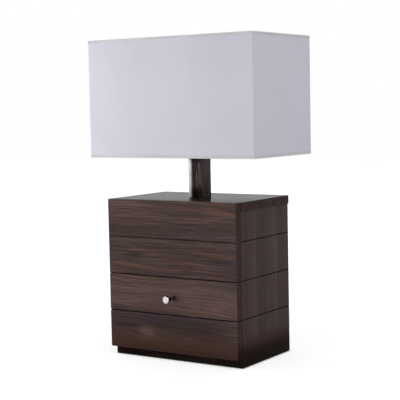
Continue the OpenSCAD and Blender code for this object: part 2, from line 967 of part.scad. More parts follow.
module shade_narrow_panel() {
  block([shade_half_w - panel_fabric_t, -shade_half_d + panel_fabric_t, shade_z],
        [shade_half_w, shade_half_d - panel_fabric_t, shade_top_z]);
}

module shade_front_panel() {
  color(fabric)
    translate([0, post_y, 0])
      mirror([0, 1, 0])
        shade_wide_panel();
}

module shade_back_panel() {
  color(fabric)
    translate([0, post_y, 0])
      shade_wide_panel();
}

module shade_left_panel() {
  color(fabric)
    translate([0, post_y, 0])
      mirror([1, 0, 0])
        shade_narrow_panel();
}

module shade_right_panel() {
  color(fabric)
    translate([0, post_y, 0])
      shade_narrow_panel();
}

// An upright rectangular ring: its outer half sizes, its wall and its levels
module rectangular_ring(half_x, half_y, wall, z0, z1) {
  translate([0, post_y, z0])
    linear_extrude(z1 - z0)
      difference() {
        square([2 * half_x, 2 * half_y], center = true);
        square([2 * (half_x - wall), 2 * (half_y - wall)], center = true);
      }
}

module shade_liner() {
  color(fabric)
    rectangular_ring(shade_half_w - panel_fabric_t, shade_half_d - panel_fabric_t, liner_t,
                     shade_z, shade_top_z);
}

// A rectangular loop of wire at one level
module wire_loop(z) {
  for (side = [-1, 1]) {
    bar_between([-frame_half_w, side * frame_half_d, z], [frame_half_w, side * frame_half_d, z], wire_r);
    bar_between([side * frame_half_w, -frame_half_d, z], [side * frame_half_w, frame_half_d, z], wire_r);
    for (end = [-1, 1])
      translate([side * frame_half_w, end * frame_half_d, z])
        sphere(r = wire_r);
  }
}

// The upper loop, with four arms that drop to the centre ring
module shade_top_frame() {
  loop_z = shade_top_z - frame_rise;
  hub_z = ring_z + ring_t / 2;
  hub_bite = 2; // of the arms into the centre ring
  hub_r = ring_d / 2 - hub_bite;
  color(nickel)
    translate([0, post_y, 0])
      difference() {
        union() {
          wire_loop(loop_z);
          for (side = [-1, 1]) {
            bar_between([side * hub_r, 0, hub_z], [side * frame_half_w, 0, loop_z], wire_r);
            bar_between([0, side * hub_r, hub_z], [0, side * frame_half_d, loop_z], wire_r);
          }
          translate([0, 0, ring_z])
            cylinder(d = ring_d, h = ring_t);
        }
        translate([0, 0, ring_z - 2 * over])
          cylinder(r = stud_d / 2 + ring_clear, h = ring_t + 4 * over);
        translate([0, 0, ring_z - ring_drop])
          cylinder(d = ring_d + 2, h = ring_drop);
      }
}

module shade_bottom_frame() {
  color(nickel)
    translate([0, post_y, 0])
      wire_loop(shade_z + frame_rise);
}

// A hem folded over an edge of the shade: a band outside it and a lip along its edge
module shade_top_hem() {
  color(fabric) {
    rectangular_ring(shade_half_w + hem_t, shade_half_d + hem_t, hem_t, shade_top_z - hem_h, shade_top_z);
    rectangular_ring(shade_half_w + hem_t, shade_half_d + hem_t, hem_t + skin_t,
                     shade_top_z, shade_top_z + hem_t);
  }
}

module shade_bottom_hem() {
  color(fabric) {
    rectangular_ring(shade_half_w + hem_t, shade_half_d + hem_t, hem_t, shade_z, shade_z + hem_h);
    rectangular_ring(shade_half_w + hem_t, shade_half_d + hem_t, hem_t + skin_t, shade_z - hem_t, shade_z);
  }
}

// A ball on a flanged foot, with a blind hole for the harp's stud
module finial() {
  foot_r = stud_d / 2 + 3.5;
  foot_h = 1.5;
  neck_wall = 1.2;
  neck_z = 2.5;
  hole_end = 0.5;
  ball_r = finial_d / 2;
  neck = stud_d / 2 + neck_wall;
  ball_low = -acos(neck / ball_r);
  color(nickel)
    translate([0, post_y, ring_z + ring_t])
      difference() {
        rotate_extrude()
          polygon(concat(
            [[0, 0], [foot_r, 0], [foot_r, foot_h], [neck, neck_z]],
            arc_points([0, finial_h - ball_r], ball_r, ball_low, 90, 16)
          ));
        translate([0, 0, -over])
          cylinder(r = stud_d / 2 + key_clear, h = over + stud_rise + hole_end);
      }
}

// ---- Drawer ----

module drawer_front() {
  color(walnut)
    difference() {
      front_board(front_core_half_w, face_y, drawer_face_back_y, face_bottom_z, face_top_z);
      knob_screw_hole();
      front_screw_holes();
    }
}

module drawer_front_end_bands() {
  color(dark_walnut)
    end_bands(face_y, drawer_face_back_y, face_bottom_z, face_top_z);
}

// Hole along Y for the knob's screw, through the front and the box behind it
module knob_screw_hole() {
  translate([knob_x, face_y - over, knob_z])
    rotate([-90, 0, 0])
      cylinder(r = knob_screw_d / 2 + knob_screw_gap, h = front_t + drawer_wall + 2 * over);
}

// Holes for the screws that hold the front board to the box
module front_screw_holes() {
  for (side = [-1, 1])
    translate([side * front_screw_x, drawer_face_back_y + drawer_wall + over, front_screw_z])
      rotate([90, 0, 0])
        cylinder(r = screw_d / 2 + screw_clear, h = over + front_screw_len + tip_gap);
}

// The slot that takes the drawer's bottom, cut out of whatever it meets
module bottom_slot() {
  block([-drawer_half_w + drawer_wall - bottom_groove, drawer_face_back_y + drawer_wall - bottom_groove,
         drawer_z + bottom_rise],
        [drawer_half_w - drawer_wall + bottom_groove, drawer_back_y - drawer_wall + bottom_groove,
         drawer_z + bottom_rise + drawer_bottom_t]);
}

module drawer_box_front() {
  inner = drawer_half_w - drawer_wall;
  color(plain_board)
    difference() {
      block([-inner, drawer_face_back_y, drawer_z],
            [inner, drawer_face_back_y + drawer_wall, drawer_top_z]);
      bottom_slot();
      knob_screw_hole();
      front_screw_holes();
    }
}

module drawer_right_wall() {
  difference() {
    block([drawer_half_w - drawer_wall, drawer_face_back_y, drawer_z],
          [drawer_half_w, drawer_back_y, drawer_top_z]);
    bottom_slot();
  }
}

module drawer_right_side() {
  color(plain_board)
    drawer_right_wall();
}

module drawer_left_side() {
  color(plain_board)
    mirror([1, 0, 0])
      drawer_right_wall();
}

// The back stands a little higher than the sides, so that the stop can catch it
module drawer_back() {
  inner = drawer_half_w - drawer_wall;
  color(plain_board)
    difference() {
      block([-inner, drawer_back_y - drawer_wall, drawer_z], [inner, drawer_back_y, stop_z + stop_catch]);
      bottom_slot();
    }
}

module drawer_bottom() {
  color(plain_board)
    bottom_slot();
}

// A round head with a rounded rim and a shallow dish in its face
module knob_head() {
  r = knob_d / 2;
  rim = min(knob_rim_r, 0.45 * knob_head_t);
  dish_r = knob_dish_d / 2;
  color(nickel)
    translate([knob_x, face_y - knob_reach, knob_z])
      rotate([-90, 0, 0])
        rotate_extrude()
          polygon(concat(
            [[0, knob_head_t], [0, knob_dish_depth]],
            [[dish_r, knob_dish_depth], [dish_r + knob_dish_depth, 0]],
            arc_points([r - rim, rim], rim, -90, 0, 6),
            arc_points([r - rim, knob_head_t - rim], rim, 0, 90, 6)
          ));
}

// The stem and its foot, tapped for the screw that comes through the drawer front
module knob_stem() {
  length = knob_reach - knob_head_t;
  color(nickel)
    translate([knob_x, face_y, knob_z])
      rotate([90, 0, 0])
        difference() {
          union() {
            cylinder(d = knob_stem_d, h = length);
            cylinder(d = knob_foot_d, h = knob_foot_t);
          }
          translate([0, 0, -over])
            cylinder(r = knob_screw_d / 2 + screw_clear, h = over + knob_screw_grip + tip_gap);
        }
}

module knob_screw() {
  color(steel)
    translate([knob_x, drawer_face_back_y + drawer_wall, knob_z])
      mirror([0, 1, 0])
        screw_y(drawer_wall + front_t - close_gap + knob_screw_grip,
                knob_screw_d, knob_screw_head_h, knob_screw_d / 2);
}

module drawer_front_screws() {
  color(steel)
    for (side = [-1, 1])
      translate([side * front_screw_x, drawer_face_back_y + drawer_wall, front_screw_z])
        mirror([0, 1, 0])
          screw_y(front_screw_len, screw_head_d / 2, screw_head_h, screw_d / 2);
}

top_board();
left_side_panel();
right_side_panel();
back_panel();
bottom_board();
drawer_shelf();
upper_divider();
front_plinth();
rear_plinth();
upper_front();
lower_front();
front_end_bands();
base_felt();
left_runner();
right_runner();
runner_screws();
drawer_stop();
back_panel_screws();
cord_bushing();
post_core();
post_front_bar();
post_cap_plate();
threaded_tube();
tube_washer();
tube_nut();
harp_saddle();
harp();
harp_sleeves();
socket_cap();
socket_shell();
socket_sleeve();
socket_core();
screw_shell();
centre_contact();
switch_key();
bulb_glass();
bulb_screw_cap();
bulb_insulator();
shade_front_panel();
shade_back_panel();
shade_left_panel();
shade_right_panel();
shade_liner();
shade_top_frame();
shade_bottom_frame();
shade_top_hem();
shade_bottom_hem();
finial();
drawer_front();
drawer_front_end_bands();
drawer_box_front();
drawer_left_side();
drawer_right_side();
drawer_back();
drawer_bottom();
knob_head();
knob_stem();
knob_screw();
drawer_front_screws();
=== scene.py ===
"""Looks of a table lamp that stands on a walnut box with one drawer.

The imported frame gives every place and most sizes. This script adds the surfaces that show, their
finishes, the light and the camera. Lengths are metres, +Z is up, and the drawer opens towards -Y.
"""

import logging
import math
from collections.abc import Callable
from dataclasses import dataclass, replace
from enum import Enum
from typing import ClassVar

import bmesh
import bpy
import numpy as np
from mathutils import Matrix, Vector


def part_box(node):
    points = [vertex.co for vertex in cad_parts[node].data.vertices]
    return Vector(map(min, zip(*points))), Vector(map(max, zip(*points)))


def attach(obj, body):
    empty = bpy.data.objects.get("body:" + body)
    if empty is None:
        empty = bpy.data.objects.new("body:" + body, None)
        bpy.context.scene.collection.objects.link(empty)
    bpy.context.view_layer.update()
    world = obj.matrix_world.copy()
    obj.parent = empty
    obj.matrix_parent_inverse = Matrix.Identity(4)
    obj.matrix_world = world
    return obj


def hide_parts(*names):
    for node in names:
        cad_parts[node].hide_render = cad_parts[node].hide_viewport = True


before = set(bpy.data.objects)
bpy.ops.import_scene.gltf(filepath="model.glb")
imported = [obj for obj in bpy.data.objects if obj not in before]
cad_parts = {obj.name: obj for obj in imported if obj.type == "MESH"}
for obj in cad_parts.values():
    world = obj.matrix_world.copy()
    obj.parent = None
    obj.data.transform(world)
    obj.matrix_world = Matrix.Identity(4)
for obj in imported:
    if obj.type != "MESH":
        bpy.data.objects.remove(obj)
log = logging.getLogger("lamp")

Colour = tuple[float, float, float, float]
Point = tuple[float, float]
Place = tuple[float, float, float]
Range = tuple[float, float]
Socket = bpy.types.NodeSocket

MM = 0.001
UPWARDS = (0.0, 0.0, 1.0)
WHITE = (1.0, 1.0, 1.0, 1.0)
BLACK = (0.0, 0.0, 0.0, 1.0)
SAME_POINT = 1e-7
WELD = 1e-6


class Axis(Enum):
    """The way along which an outline is carried, or along which grain runs."""

    X = 0
    Y = 1
    Z = 2


class Body(Enum):
    """The moving bodies of the frame."""

    BASE = "base"
    DRAWER = "drawer"
    SHADE = "shade"
    FINIAL = "finial"
    SLEEVES = "harp_sleeves"
    SWITCH = "switch"
    BULB = "bulb"


# ---- Surfaces ----


@dataclass(frozen=True)
class Extent:
    """A box from its lowest to its highest corner."""

    low: np.ndarray
    high: np.ndarray

    @property
    def middle(self) -> np.ndarray:
        """Return the middle of the box."""
        return (self.low + self.high) / 2

    @property
    def size(self) -> np.ndarray:
        """Return the three sizes of the box."""
        return self.high - self.low

    def outline(self, axis: Axis) -> list[Point]:
        """Return the four corners that the box shows along an axis, in order."""
        (left, foot), (right, head) = (np.delete(corner, axis.value) for corner in (self.low, self.high))
        return [(left, foot), (right, foot), (right, head), (left, head)]


def extent(node: str) -> Extent:
    """Return the box round a node of the frame."""
    return Extent(*(np.array(corner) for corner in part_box(node)))


def unit(vectors: np.ndarray) -> np.ndarray:
    """Return vectors scaled to a length of 1."""
    return vectors / np.linalg.norm(vectors, axis=-1, keepdims=True)


def travelled(path: np.ndarray) -> np.ndarray:
    """Return the length of a path up to each of its points."""
    return np.concatenate([[0], np.cumsum(np.linalg.norm(np.diff(path, axis=0), axis=1))])


def full_turn(steps: int) -> np.ndarray:
    """Return the angles of a full turn in even steps."""
    return np.linspace(0, 2 * np.pi, steps, endpoint=False)


def arc(centre: Point, radius: float, start: float, end: float, steps: int) -> np.ndarray:
    """Return steps + 1 points centre + radius * (cos a, sin a), with a from start to end in degrees."""
    a = np.radians(np.linspace(start, end, steps + 1))
    return np.stack([centre[0] + radius * np.cos(a), centre[1] + radius * np.sin(a)], -1)


def rounded(corners: list[Point], radii: float | list[float], steps: int = 4) -> np.ndarray:
    """Round the corners of a closed outline.

    Each corner P gives way to the curve (1-s)^2 A + 2s(1-s) P + s^2 B, where A and B lie on its two
    sides at the corner's radius from P, and s runs from 0 to 1.

    Args:
        corners: The corners in order.
        radii: One radius, or one for each corner.
        steps: Stretches in each rounded corner.

    Returns:
        The outline's points, without repeats.
    """
    p = np.array(corners, float)
    r = np.broadcast_to(np.asarray(radii, float), len(p))[:, None]
    a, b = ((p + unit(np.roll(p, shift, 0) - p) * r)[:, None] for shift in (1, -1))
    s = np.linspace(0, 1, steps + 1)[None, :, None]
    curve = ((1 - s) ** 2 * a + 2 * s * (1 - s) * p[:, None] + s**2 * b).reshape(-1, 2)
    return curve[np.linalg.norm(curve - np.roll(curve, 1, 0), axis=1) > SAME_POINT]


class Draft:
    """A mesh in the making: grids and caps that are welded where their points meet."""

    def __init__(self) -> None:
        """Start with no points and no faces."""
        self.points: list[np.ndarray] = []
        self.faces: list[list[int]] = []
        self.weave: list[np.ndarray] = []
        self.count = 0

    def grid(self, points: np.ndarray, around: bool = False, again: bool = False,
             weave: np.ndarray | None = None) -> "Draft":
        """Add the four-sided faces of a grid of points.

        Args:
            points: An array of rows x columns x 3.
            around: Whether the last column joins the first.
            again: Whether the last row joins the first.
            weave: Two lengths for each point, along the cloth and across it.

        Returns:
            This draft.
        """
        rows, columns = points.shape[:2]
        i, j = np.meshgrid(np.arange(rows - (not again)), np.arange(columns - (not around)), indexing="ij")
        down, right = (i + 1) % rows, (j + 1) % columns
        here, below = i * columns, down * columns
        quads = np.stack([here + j, here + right, below + right, below + j], -1)
        self.faces += (quads.reshape(-1, 4) + self.count).tolist()
        self.points.append(points.reshape(-1, 3))
        self.weave.append(np.zeros((rows * columns, 2)) if weave is None else weave.reshape(-1, 2))
        self.count += rows * columns
        return self

    def cap(self, ring: np.ndarray) -> "Draft":
        """Close an opening with one face.

        Args:
            ring: The points round the opening.

        Returns:
            This draft.
        """
        self.faces.append(list(range(self.count, self.count + len(ring))))
        self.points.append(ring)
        self.weave.append(np.zeros((len(ring), 2)))
        self.count += len(ring)
        return self

    def carry(self, outline: np.ndarray, axis: Axis, start: float, end: float, ease: Range = (0.0, 0.0),
              steps: int = 3) -> "Draft":
        """Carry a closed outline along an axis and close both ends, whose edges may be rounded over.

        Near an end the outline is drawn in by ease * (1 - sin a) at ease * (1 - cos a) from it, with a
        from 0 to 90 degrees, which is a quarter circle.

        Args:
            outline: Points on the plane across the axis, the two other axes in their order.
            axis: The axis.
            start: First place on the axis.
            end: Last place on the axis.
            ease: Radius of the rounding at the start and at the end.
            steps: Stretches in each quarter circle.

        Returns:
            This draft.
        """
        following, before = np.roll(outline, -1, 0), np.roll(outline, 1, 0)
        if (outline[:, 0] * following[:, 1] - outline[:, 1] * following[:, 0]).sum() < 0:
            outline, following, before = outline[::-1], before[::-1], following[::-1]
        along = following - before
        inward = unit(np.stack([-along[:, 1], along[:, 0]], -1))
        a = np.radians(np.linspace(0, 90, steps + 1))
        first, last = (place + way * (1 - np.cos(a)) for place, way in ((start, ease[0]), (end, -ease[1])))
        places = np.concatenate([first, last[::-1]])
        insets = np.concatenate([ease[0] * (1 - np.sin(a)), ease[1] * (1 - np.sin(a[::-1]))])
        flat = outline[None] + insets[:, None, None] * inward[None]
        points = np.insert(flat, axis.value, np.broadcast_to(places[:, None], flat.shape[:2]), axis=2)
        return self.grid(points, around=True).cap(points[0]).cap(points[-1])

    def block(self, box: Extent, axis: Axis, radii: float | list[float], ease: Range = (0.0, 0.0)) -> "Draft":
        """Add a box whose edges along an axis are rounded.

        Args:
            box: Its place and size.
            axis: The axis.
            radii: One radius, or one for each edge in the order of the box's outline.
            ease: Radius of the rounding at the start and at the end of the axis.

        Returns:
            This draft.
        """
        start, end = box.low[axis.value], box.high[axis.value]
        return self.carry(rounded(box.outline(axis), radii), axis, start, end, ease)

    def turn(self, profile: np.ndarray, centre: Place, axis: Axis = Axis.Z, steps: int = 64) -> "Draft":
        """Turn a profile of (radius, height) about an axis: (r cos a, r sin a) across it, h along it.

        Args:
            profile: Points of radius and height.
            centre: The point on the axis at height 0.
            axis: The axis.
            steps: Faces around the axis.

        Returns:
            This draft.
        """
        a = full_turn(steps)
        r, h = profile[:, 0, None], profile[:, 1, None]
        flat = np.stack([r * np.cos(a), r * np.sin(a)], -1)
        points = np.insert(flat, axis.value, np.broadcast_to(h, flat.shape[:2]), axis=2)
        return self.grid(points + np.array(centre), around=True)

    def sweep(self, path: np.ndarray, radius: float, closed: bool = False, sides: int = 12) -> "Draft":
        """Sweep a round wire along a path that is nowhere upright: path + radius * (S cos a + U sin a).

        T is the path's direction at each point, S is T x Z, so it is level, and U is S x T.

        Args:
            path: The points that the wire's middle follows.
            radius: Radius of the wire.
            closed: Whether the path's last point joins its first. Otherwise both ends are closed.
            sides: Faces around the wire.

        Returns:
            This draft.
        """
        if closed:
            along = unit(np.roll(path, -1, 0) - np.roll(path, 1, 0))
        else:
            along = unit(np.gradient(path, axis=0))
        side = unit(np.cross(along, UPWARDS))
        up = np.cross(side, along)
        a = full_turn(sides)[None, :, None]
        points = path[:, None] + radius * (side[:, None] * np.cos(a) + up[:, None] * np.sin(a))
        self.grid(points, around=True, again=closed)
        return self if closed else self.cap(points[0]).cap(points[-1])

    def piece(self, name: str, finish: "Finish", body: Body, slot: str, replaces: tuple[str, ...] = (),
              crease: float = 35.0) -> bpy.types.Object:
        """Turn the draft into a piece of the lamp.

        Args:
            name: Name of the piece.
            finish: What its surface is made of.
            body: The body that it moves with.
            slot: The record's material slot; not used.
            replaces: Nodes of the frame that it stands for.
            crease: Edges sharper than this, in degrees, stay sharp.

        Returns:
            The finished object.
        """
        mesh = bpy.data.meshes.new(name)
        mesh.from_pydata(np.concatenate(self.points).tolist(), [], self.faces)
        weave = np.concatenate(self.weave)
        shell = bmesh.new()
        # A woven sheet keeps all its points, since the two edges of its seam differ in their weave.
        if weave.any():
            attribute = mesh.attributes.new("weave", "FLOAT_VECTOR", "POINT")
            attribute.data.foreach_set("vector", np.pad(weave, ((0, 0), (0, 1))).astype(np.float32).ravel())
            shell.from_mesh(mesh)
        else:
            shell.from_mesh(mesh)
            bmesh.ops.remove_doubles(shell, verts=shell.verts, dist=WELD)
            bmesh.ops.dissolve_degenerate(shell, dist=SAME_POINT, edges=shell.edges)
        bmesh.ops.recalc_face_normals(shell, faces=shell.faces)
        shell.to_mesh(mesh)
        shell.free()
        mesh.polygons.foreach_set("use_smooth", np.ones(len(mesh.polygons), bool))
        mesh.set_sharp_from_angle(angle=math.radians(crease))
        made = bpy.data.objects.new(name, mesh)
        bpy.context.scene.collection.objects.link(made)
        mesh.materials.append(finish.material())
        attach(made, body.value)
        if replaces:
            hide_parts(*replaces)
        log.info("%s: %d faces", name, len(mesh.polygons))
        return made


def thicken(made: bpy.types.Object, thick: float, offset: float) -> None:
    """Give a sheet its thickness, inwards where the offset is -1 and to both sides where it is 0."""
    solid = made.modifiers.new("thickness", "SOLIDIFY")
    solid.thickness, solid.offset = thick, offset


# ---- Shader maths ----


def operator(operation: str, swapped: bool = False) -> Callable[["Value", "Value | float"], "Value"]:
    """Make an arithmetic method of Value.

    Args:
        operation: The Math node's operation.
        swapped: Whether the other number comes first.

    Returns:
        The method.
    """

    def method(value: "Value", other: "Value | float") -> "Value":
        """Return the result of one Math node on the value and the other number."""
        return value.nodes.math(operation, *((other, value) if swapped else (value, other)))

    return method


class Value:
    """A number that may change over a surface: the socket that gives it, with arithmetic."""

    def __init__(self, nodes: "Nodes", socket: Socket) -> None:
        """Wrap a socket of a node tree."""
        self.nodes = nodes
        self.socket = socket

    __add__ = __radd__ = operator("ADD")
    __mul__ = __rmul__ = operator("MULTIPLY")
    __sub__ = operator("SUBTRACT")
    __rsub__ = operator("SUBTRACT", swapped=True)
    __truediv__ = operator("DIVIDE")
    __pow__ = operator("POWER")
    highest = operator("MAXIMUM")

    def between(self, low: float, high: float) -> "Value":
        """Return a smooth rise from 0 at low to 1 at high, or a fall where high is the lower."""
        inputs = {"Value": self, "From Min": low, "From Max": high}
        return self.nodes.value("ShaderNodeMapRange", {"interpolation_type": "SMOOTHSTEP"}, inputs)


@dataclass(frozen=True)
class Layer:
    """Noise stretched along a grain: its marks per metre along it and their pitch across it."""

    per_metre: float
    pitch: float
    detail: float = 2.0
    roughness: float = 0.5


BANDS = Layer(1.8, 20 * MM, 3.0)
LINES = Layer(4.5, 2.8 * MM, 3.0, 0.62)
FINE_LINES = Layer(18, 1.1 * MM)


class Nodes:
    """A node tree in the making."""

    def __init__(self, tree: bpy.types.NodeTree) -> None:
        """Take up a tree."""
        self.tree = tree

    def node(self, kind: str, settings: dict | None = None, inputs: dict | None = None) -> bpy.types.Node:
        """Add one node.

        Args:
            kind: The node's type.
            settings: Its properties.
            inputs: Values, sockets or plain numbers for its inputs, by name or place.

        Returns:
            The node.
        """
        made = self.tree.nodes.new(kind)
        for name, setting in (settings or {}).items():
            setattr(made, name, setting)
        self.feed(made, inputs or {})
        return made

    def feed(self, node: bpy.types.Node, inputs: dict) -> None:
        """Set or link a node's inputs.

        Args:
            node: The node.
            inputs: Values, sockets or plain numbers, by name or place.
        """
        for name, given in inputs.items():
            socket = given.socket if isinstance(given, Value) else given
            if isinstance(socket, Socket):
                self.tree.links.new(socket, node.inputs[name])
            else:
                node.inputs[name].default_value = socket

    def value(self, kind: str, settings: dict, inputs: dict) -> Value:
        """Add one node and return its first output as a value."""
        return Value(self, self.node(kind, settings, inputs).outputs[0])

    def math(self, operation: str, *inputs: Value | float) -> Value:
        """Return the result of one Math node."""
        return self.value("ShaderNodeMath", {"operation": operation}, dict(enumerate(inputs)))

    def split(self, vector: Socket) -> tuple[Value, ...]:
        """Return the three parts of a vector."""
        parts = self.node("ShaderNodeSeparateXYZ", {}, {0: vector}).outputs
        return tuple(Value(self, socket) for socket in parts)

    def place(self) -> tuple[Value, ...]:
        """Return the three Object coordinates, in metres."""
        return self.split(self.node("ShaderNodeTexCoord").outputs["Object"])

    def threads(self) -> tuple[Value, ...]:
        """Return the two lengths of the weave, along the cloth and across it, in metres."""
        return self.split(self.node("ShaderNodeAttribute", {"attribute_name": "weave"}).outputs["Vector"])[:2]

    def rays(self, first: str, *others: str) -> Value:
        """Tell kinds of ray apart.

        Args:
            first: A kind of ray, such as Camera.
            *others: Further kinds.

        Returns:
            1 for rays of these kinds and 0 for all others.
        """
        outputs = self.node("ShaderNodeLightPath").outputs
        seen = Value(self, outputs[f"Is {first} Ray"])
        for kind in others:
            seen = seen.highest(Value(self, outputs[f"Is {kind} Ray"]))
        return seen

    def noise(self, x: Value, y: Value, z: Value | float = 0.0, detail: float = 2.0,
              roughness: float = 0.5) -> Value:
        """Return smooth noise from 0 to 1, whose marks are about 1 across in the numbers given."""
        where = self.node("ShaderNodeCombineXYZ", {}, {0: x, 1: y, 2: z}).outputs[0]
        inputs = {"Vector": where, "Scale": 1.0, "Detail": detail, "Roughness": roughness}
        return self.value("ShaderNodeTexNoise", {}, inputs)

    def grain(self, layer: Layer, along: Value, first: Value, second: Value) -> Value:
        """Return a layer's noise at a place along the grain and two places across it."""
        places = (along * layer.per_metre, first / layer.pitch, second / layer.pitch)
        return self.noise(*places, layer.detail, layer.roughness)

    def ramp(self, factor: Value, *colours: Colour) -> Socket:
        """Run through evenly spaced colours.

        Args:
            factor: 0 for the first colour and 1 for the last.
            *colours: The colours.

        Returns:
            The colour's socket.
        """
        made = self.node("ShaderNodeValToRGB", {}, {0: factor})
        stops = made.color_ramp.elements
        while len(stops) < len(colours):
            stops.new(0.5)
        for stop, place, colour in zip(stops, np.linspace(0, 1, len(colours)), colours):
            stop.position, stop.color = place, colour
        return made.outputs[0]

    def mix(self, factor: Value | float, first: Socket | Colour,
            second: Socket | Colour, blend: str = "MIX") -> Socket:
        """Return two colours mixed by a factor."""
        settings = {"data_type": "RGBA", "blend_type": blend}
        return self.node("ShaderNodeMix", settings, {0: factor, 6: first, 7: second}).outputs[2]

    def shaded(self, colour: Socket, shade: Value) -> Socket:
        """Return a colour multiplied by a shade."""
        grey = self.node("ShaderNodeCombineColor", {}, {0: shade, 1: shade, 2: shade}).outputs[0]
        return self.mix(1.0, colour, grey, "MULTIPLY")

    def bump(self, height: Value, distance: float) -> Socket:
        """Return the normal of a relief that is `distance` metres deep."""
        inputs = {"Strength": 1.0, "Distance": distance, "Height": height}
        return self.node("ShaderNodeBump", {}, inputs).outputs[0]


class Shader(Nodes):
    """One material and the nodes that work it out."""

    def __init__(self, name: str) -> None:
        """Make the material with a Principled shader and nothing else."""
        self.material = bpy.data.materials.new(name)
        self.material.use_nodes = True
        super().__init__(self.material.node_tree)
        self.surface = self.tree.nodes["Principled BSDF"]

    @property
    def colour(self) -> Socket:
        """Return the base colour that the surface has so far."""
        return self.surface.inputs["Base Color"].links[0].from_socket

    def cover(self, inputs: dict) -> None:
        """Set or link inputs of the surface."""
        self.feed(self.surface, inputs)

    def across(self, grain: Axis) -> tuple[Value, ...]:
        """Return the place along a grain and the two places across it, in metres."""
        place = list(self.place())
        return place.pop(grain.value), *place


# ---- Finishes ----
# A roughness is the least one that the surface has. A range is a pair of levels, and its effect
# rises smoothly from none at the first to all at the second.


def rgb(red: int, green: int, blue: int) -> Colour:
    """Return a screen colour of 0 to 255 each as linear light with an alpha of 1, by the sRGB curve."""
    parts = [part / 255 for part in (red, green, blue)]
    return (*[c / 12.92 if c <= 0.04045 else ((c + 0.055) / 1.055) ** 2.4 for c in parts], 1.0)


@dataclass(frozen=True)
class Finish:
    """A surface finish. Each one makes its material once."""

    name: str
    made: ClassVar[dict[str, bpy.types.Material]] = {}

    def paint(self, shader: Shader) -> None:
        """Work out the material's nodes."""
        raise NotImplementedError

    def material(self) -> bpy.types.Material:
        """Make the material at the first call, and keep it.

        Returns:
            The material.
        """
        if self.name not in Finish.made:
            shader = Shader(f"finish_{self.name}")
            self.paint(shader)
            Finish.made[self.name] = shader.material
        return Finish.made[self.name]


@dataclass(frozen=True)
class Tones:
    """The colours of a wood: of its lines from dark to light, and of its changes of hue."""

    dark: Colour
    middle: Colour
    light: Colour
    warm: Colour
    cool: Colour
    olive: Colour


@dataclass(frozen=True)
class Streak:
    """A mark in the grain: its middle along and across, its half sizes, its strength and its slope."""

    along: float
    across: float
    half_along: float
    half_across: float
    strength: float = 1.0
    slope: float = 0.0


def streaks(*rows: tuple[float, ...]) -> tuple[Streak, ...]:
    """Make streaks from rows of their four lengths in millimetres, their strength and their slope."""
    return tuple(Streak(*(length * MM for length in row[:4]), *row[4:]) for row in rows)


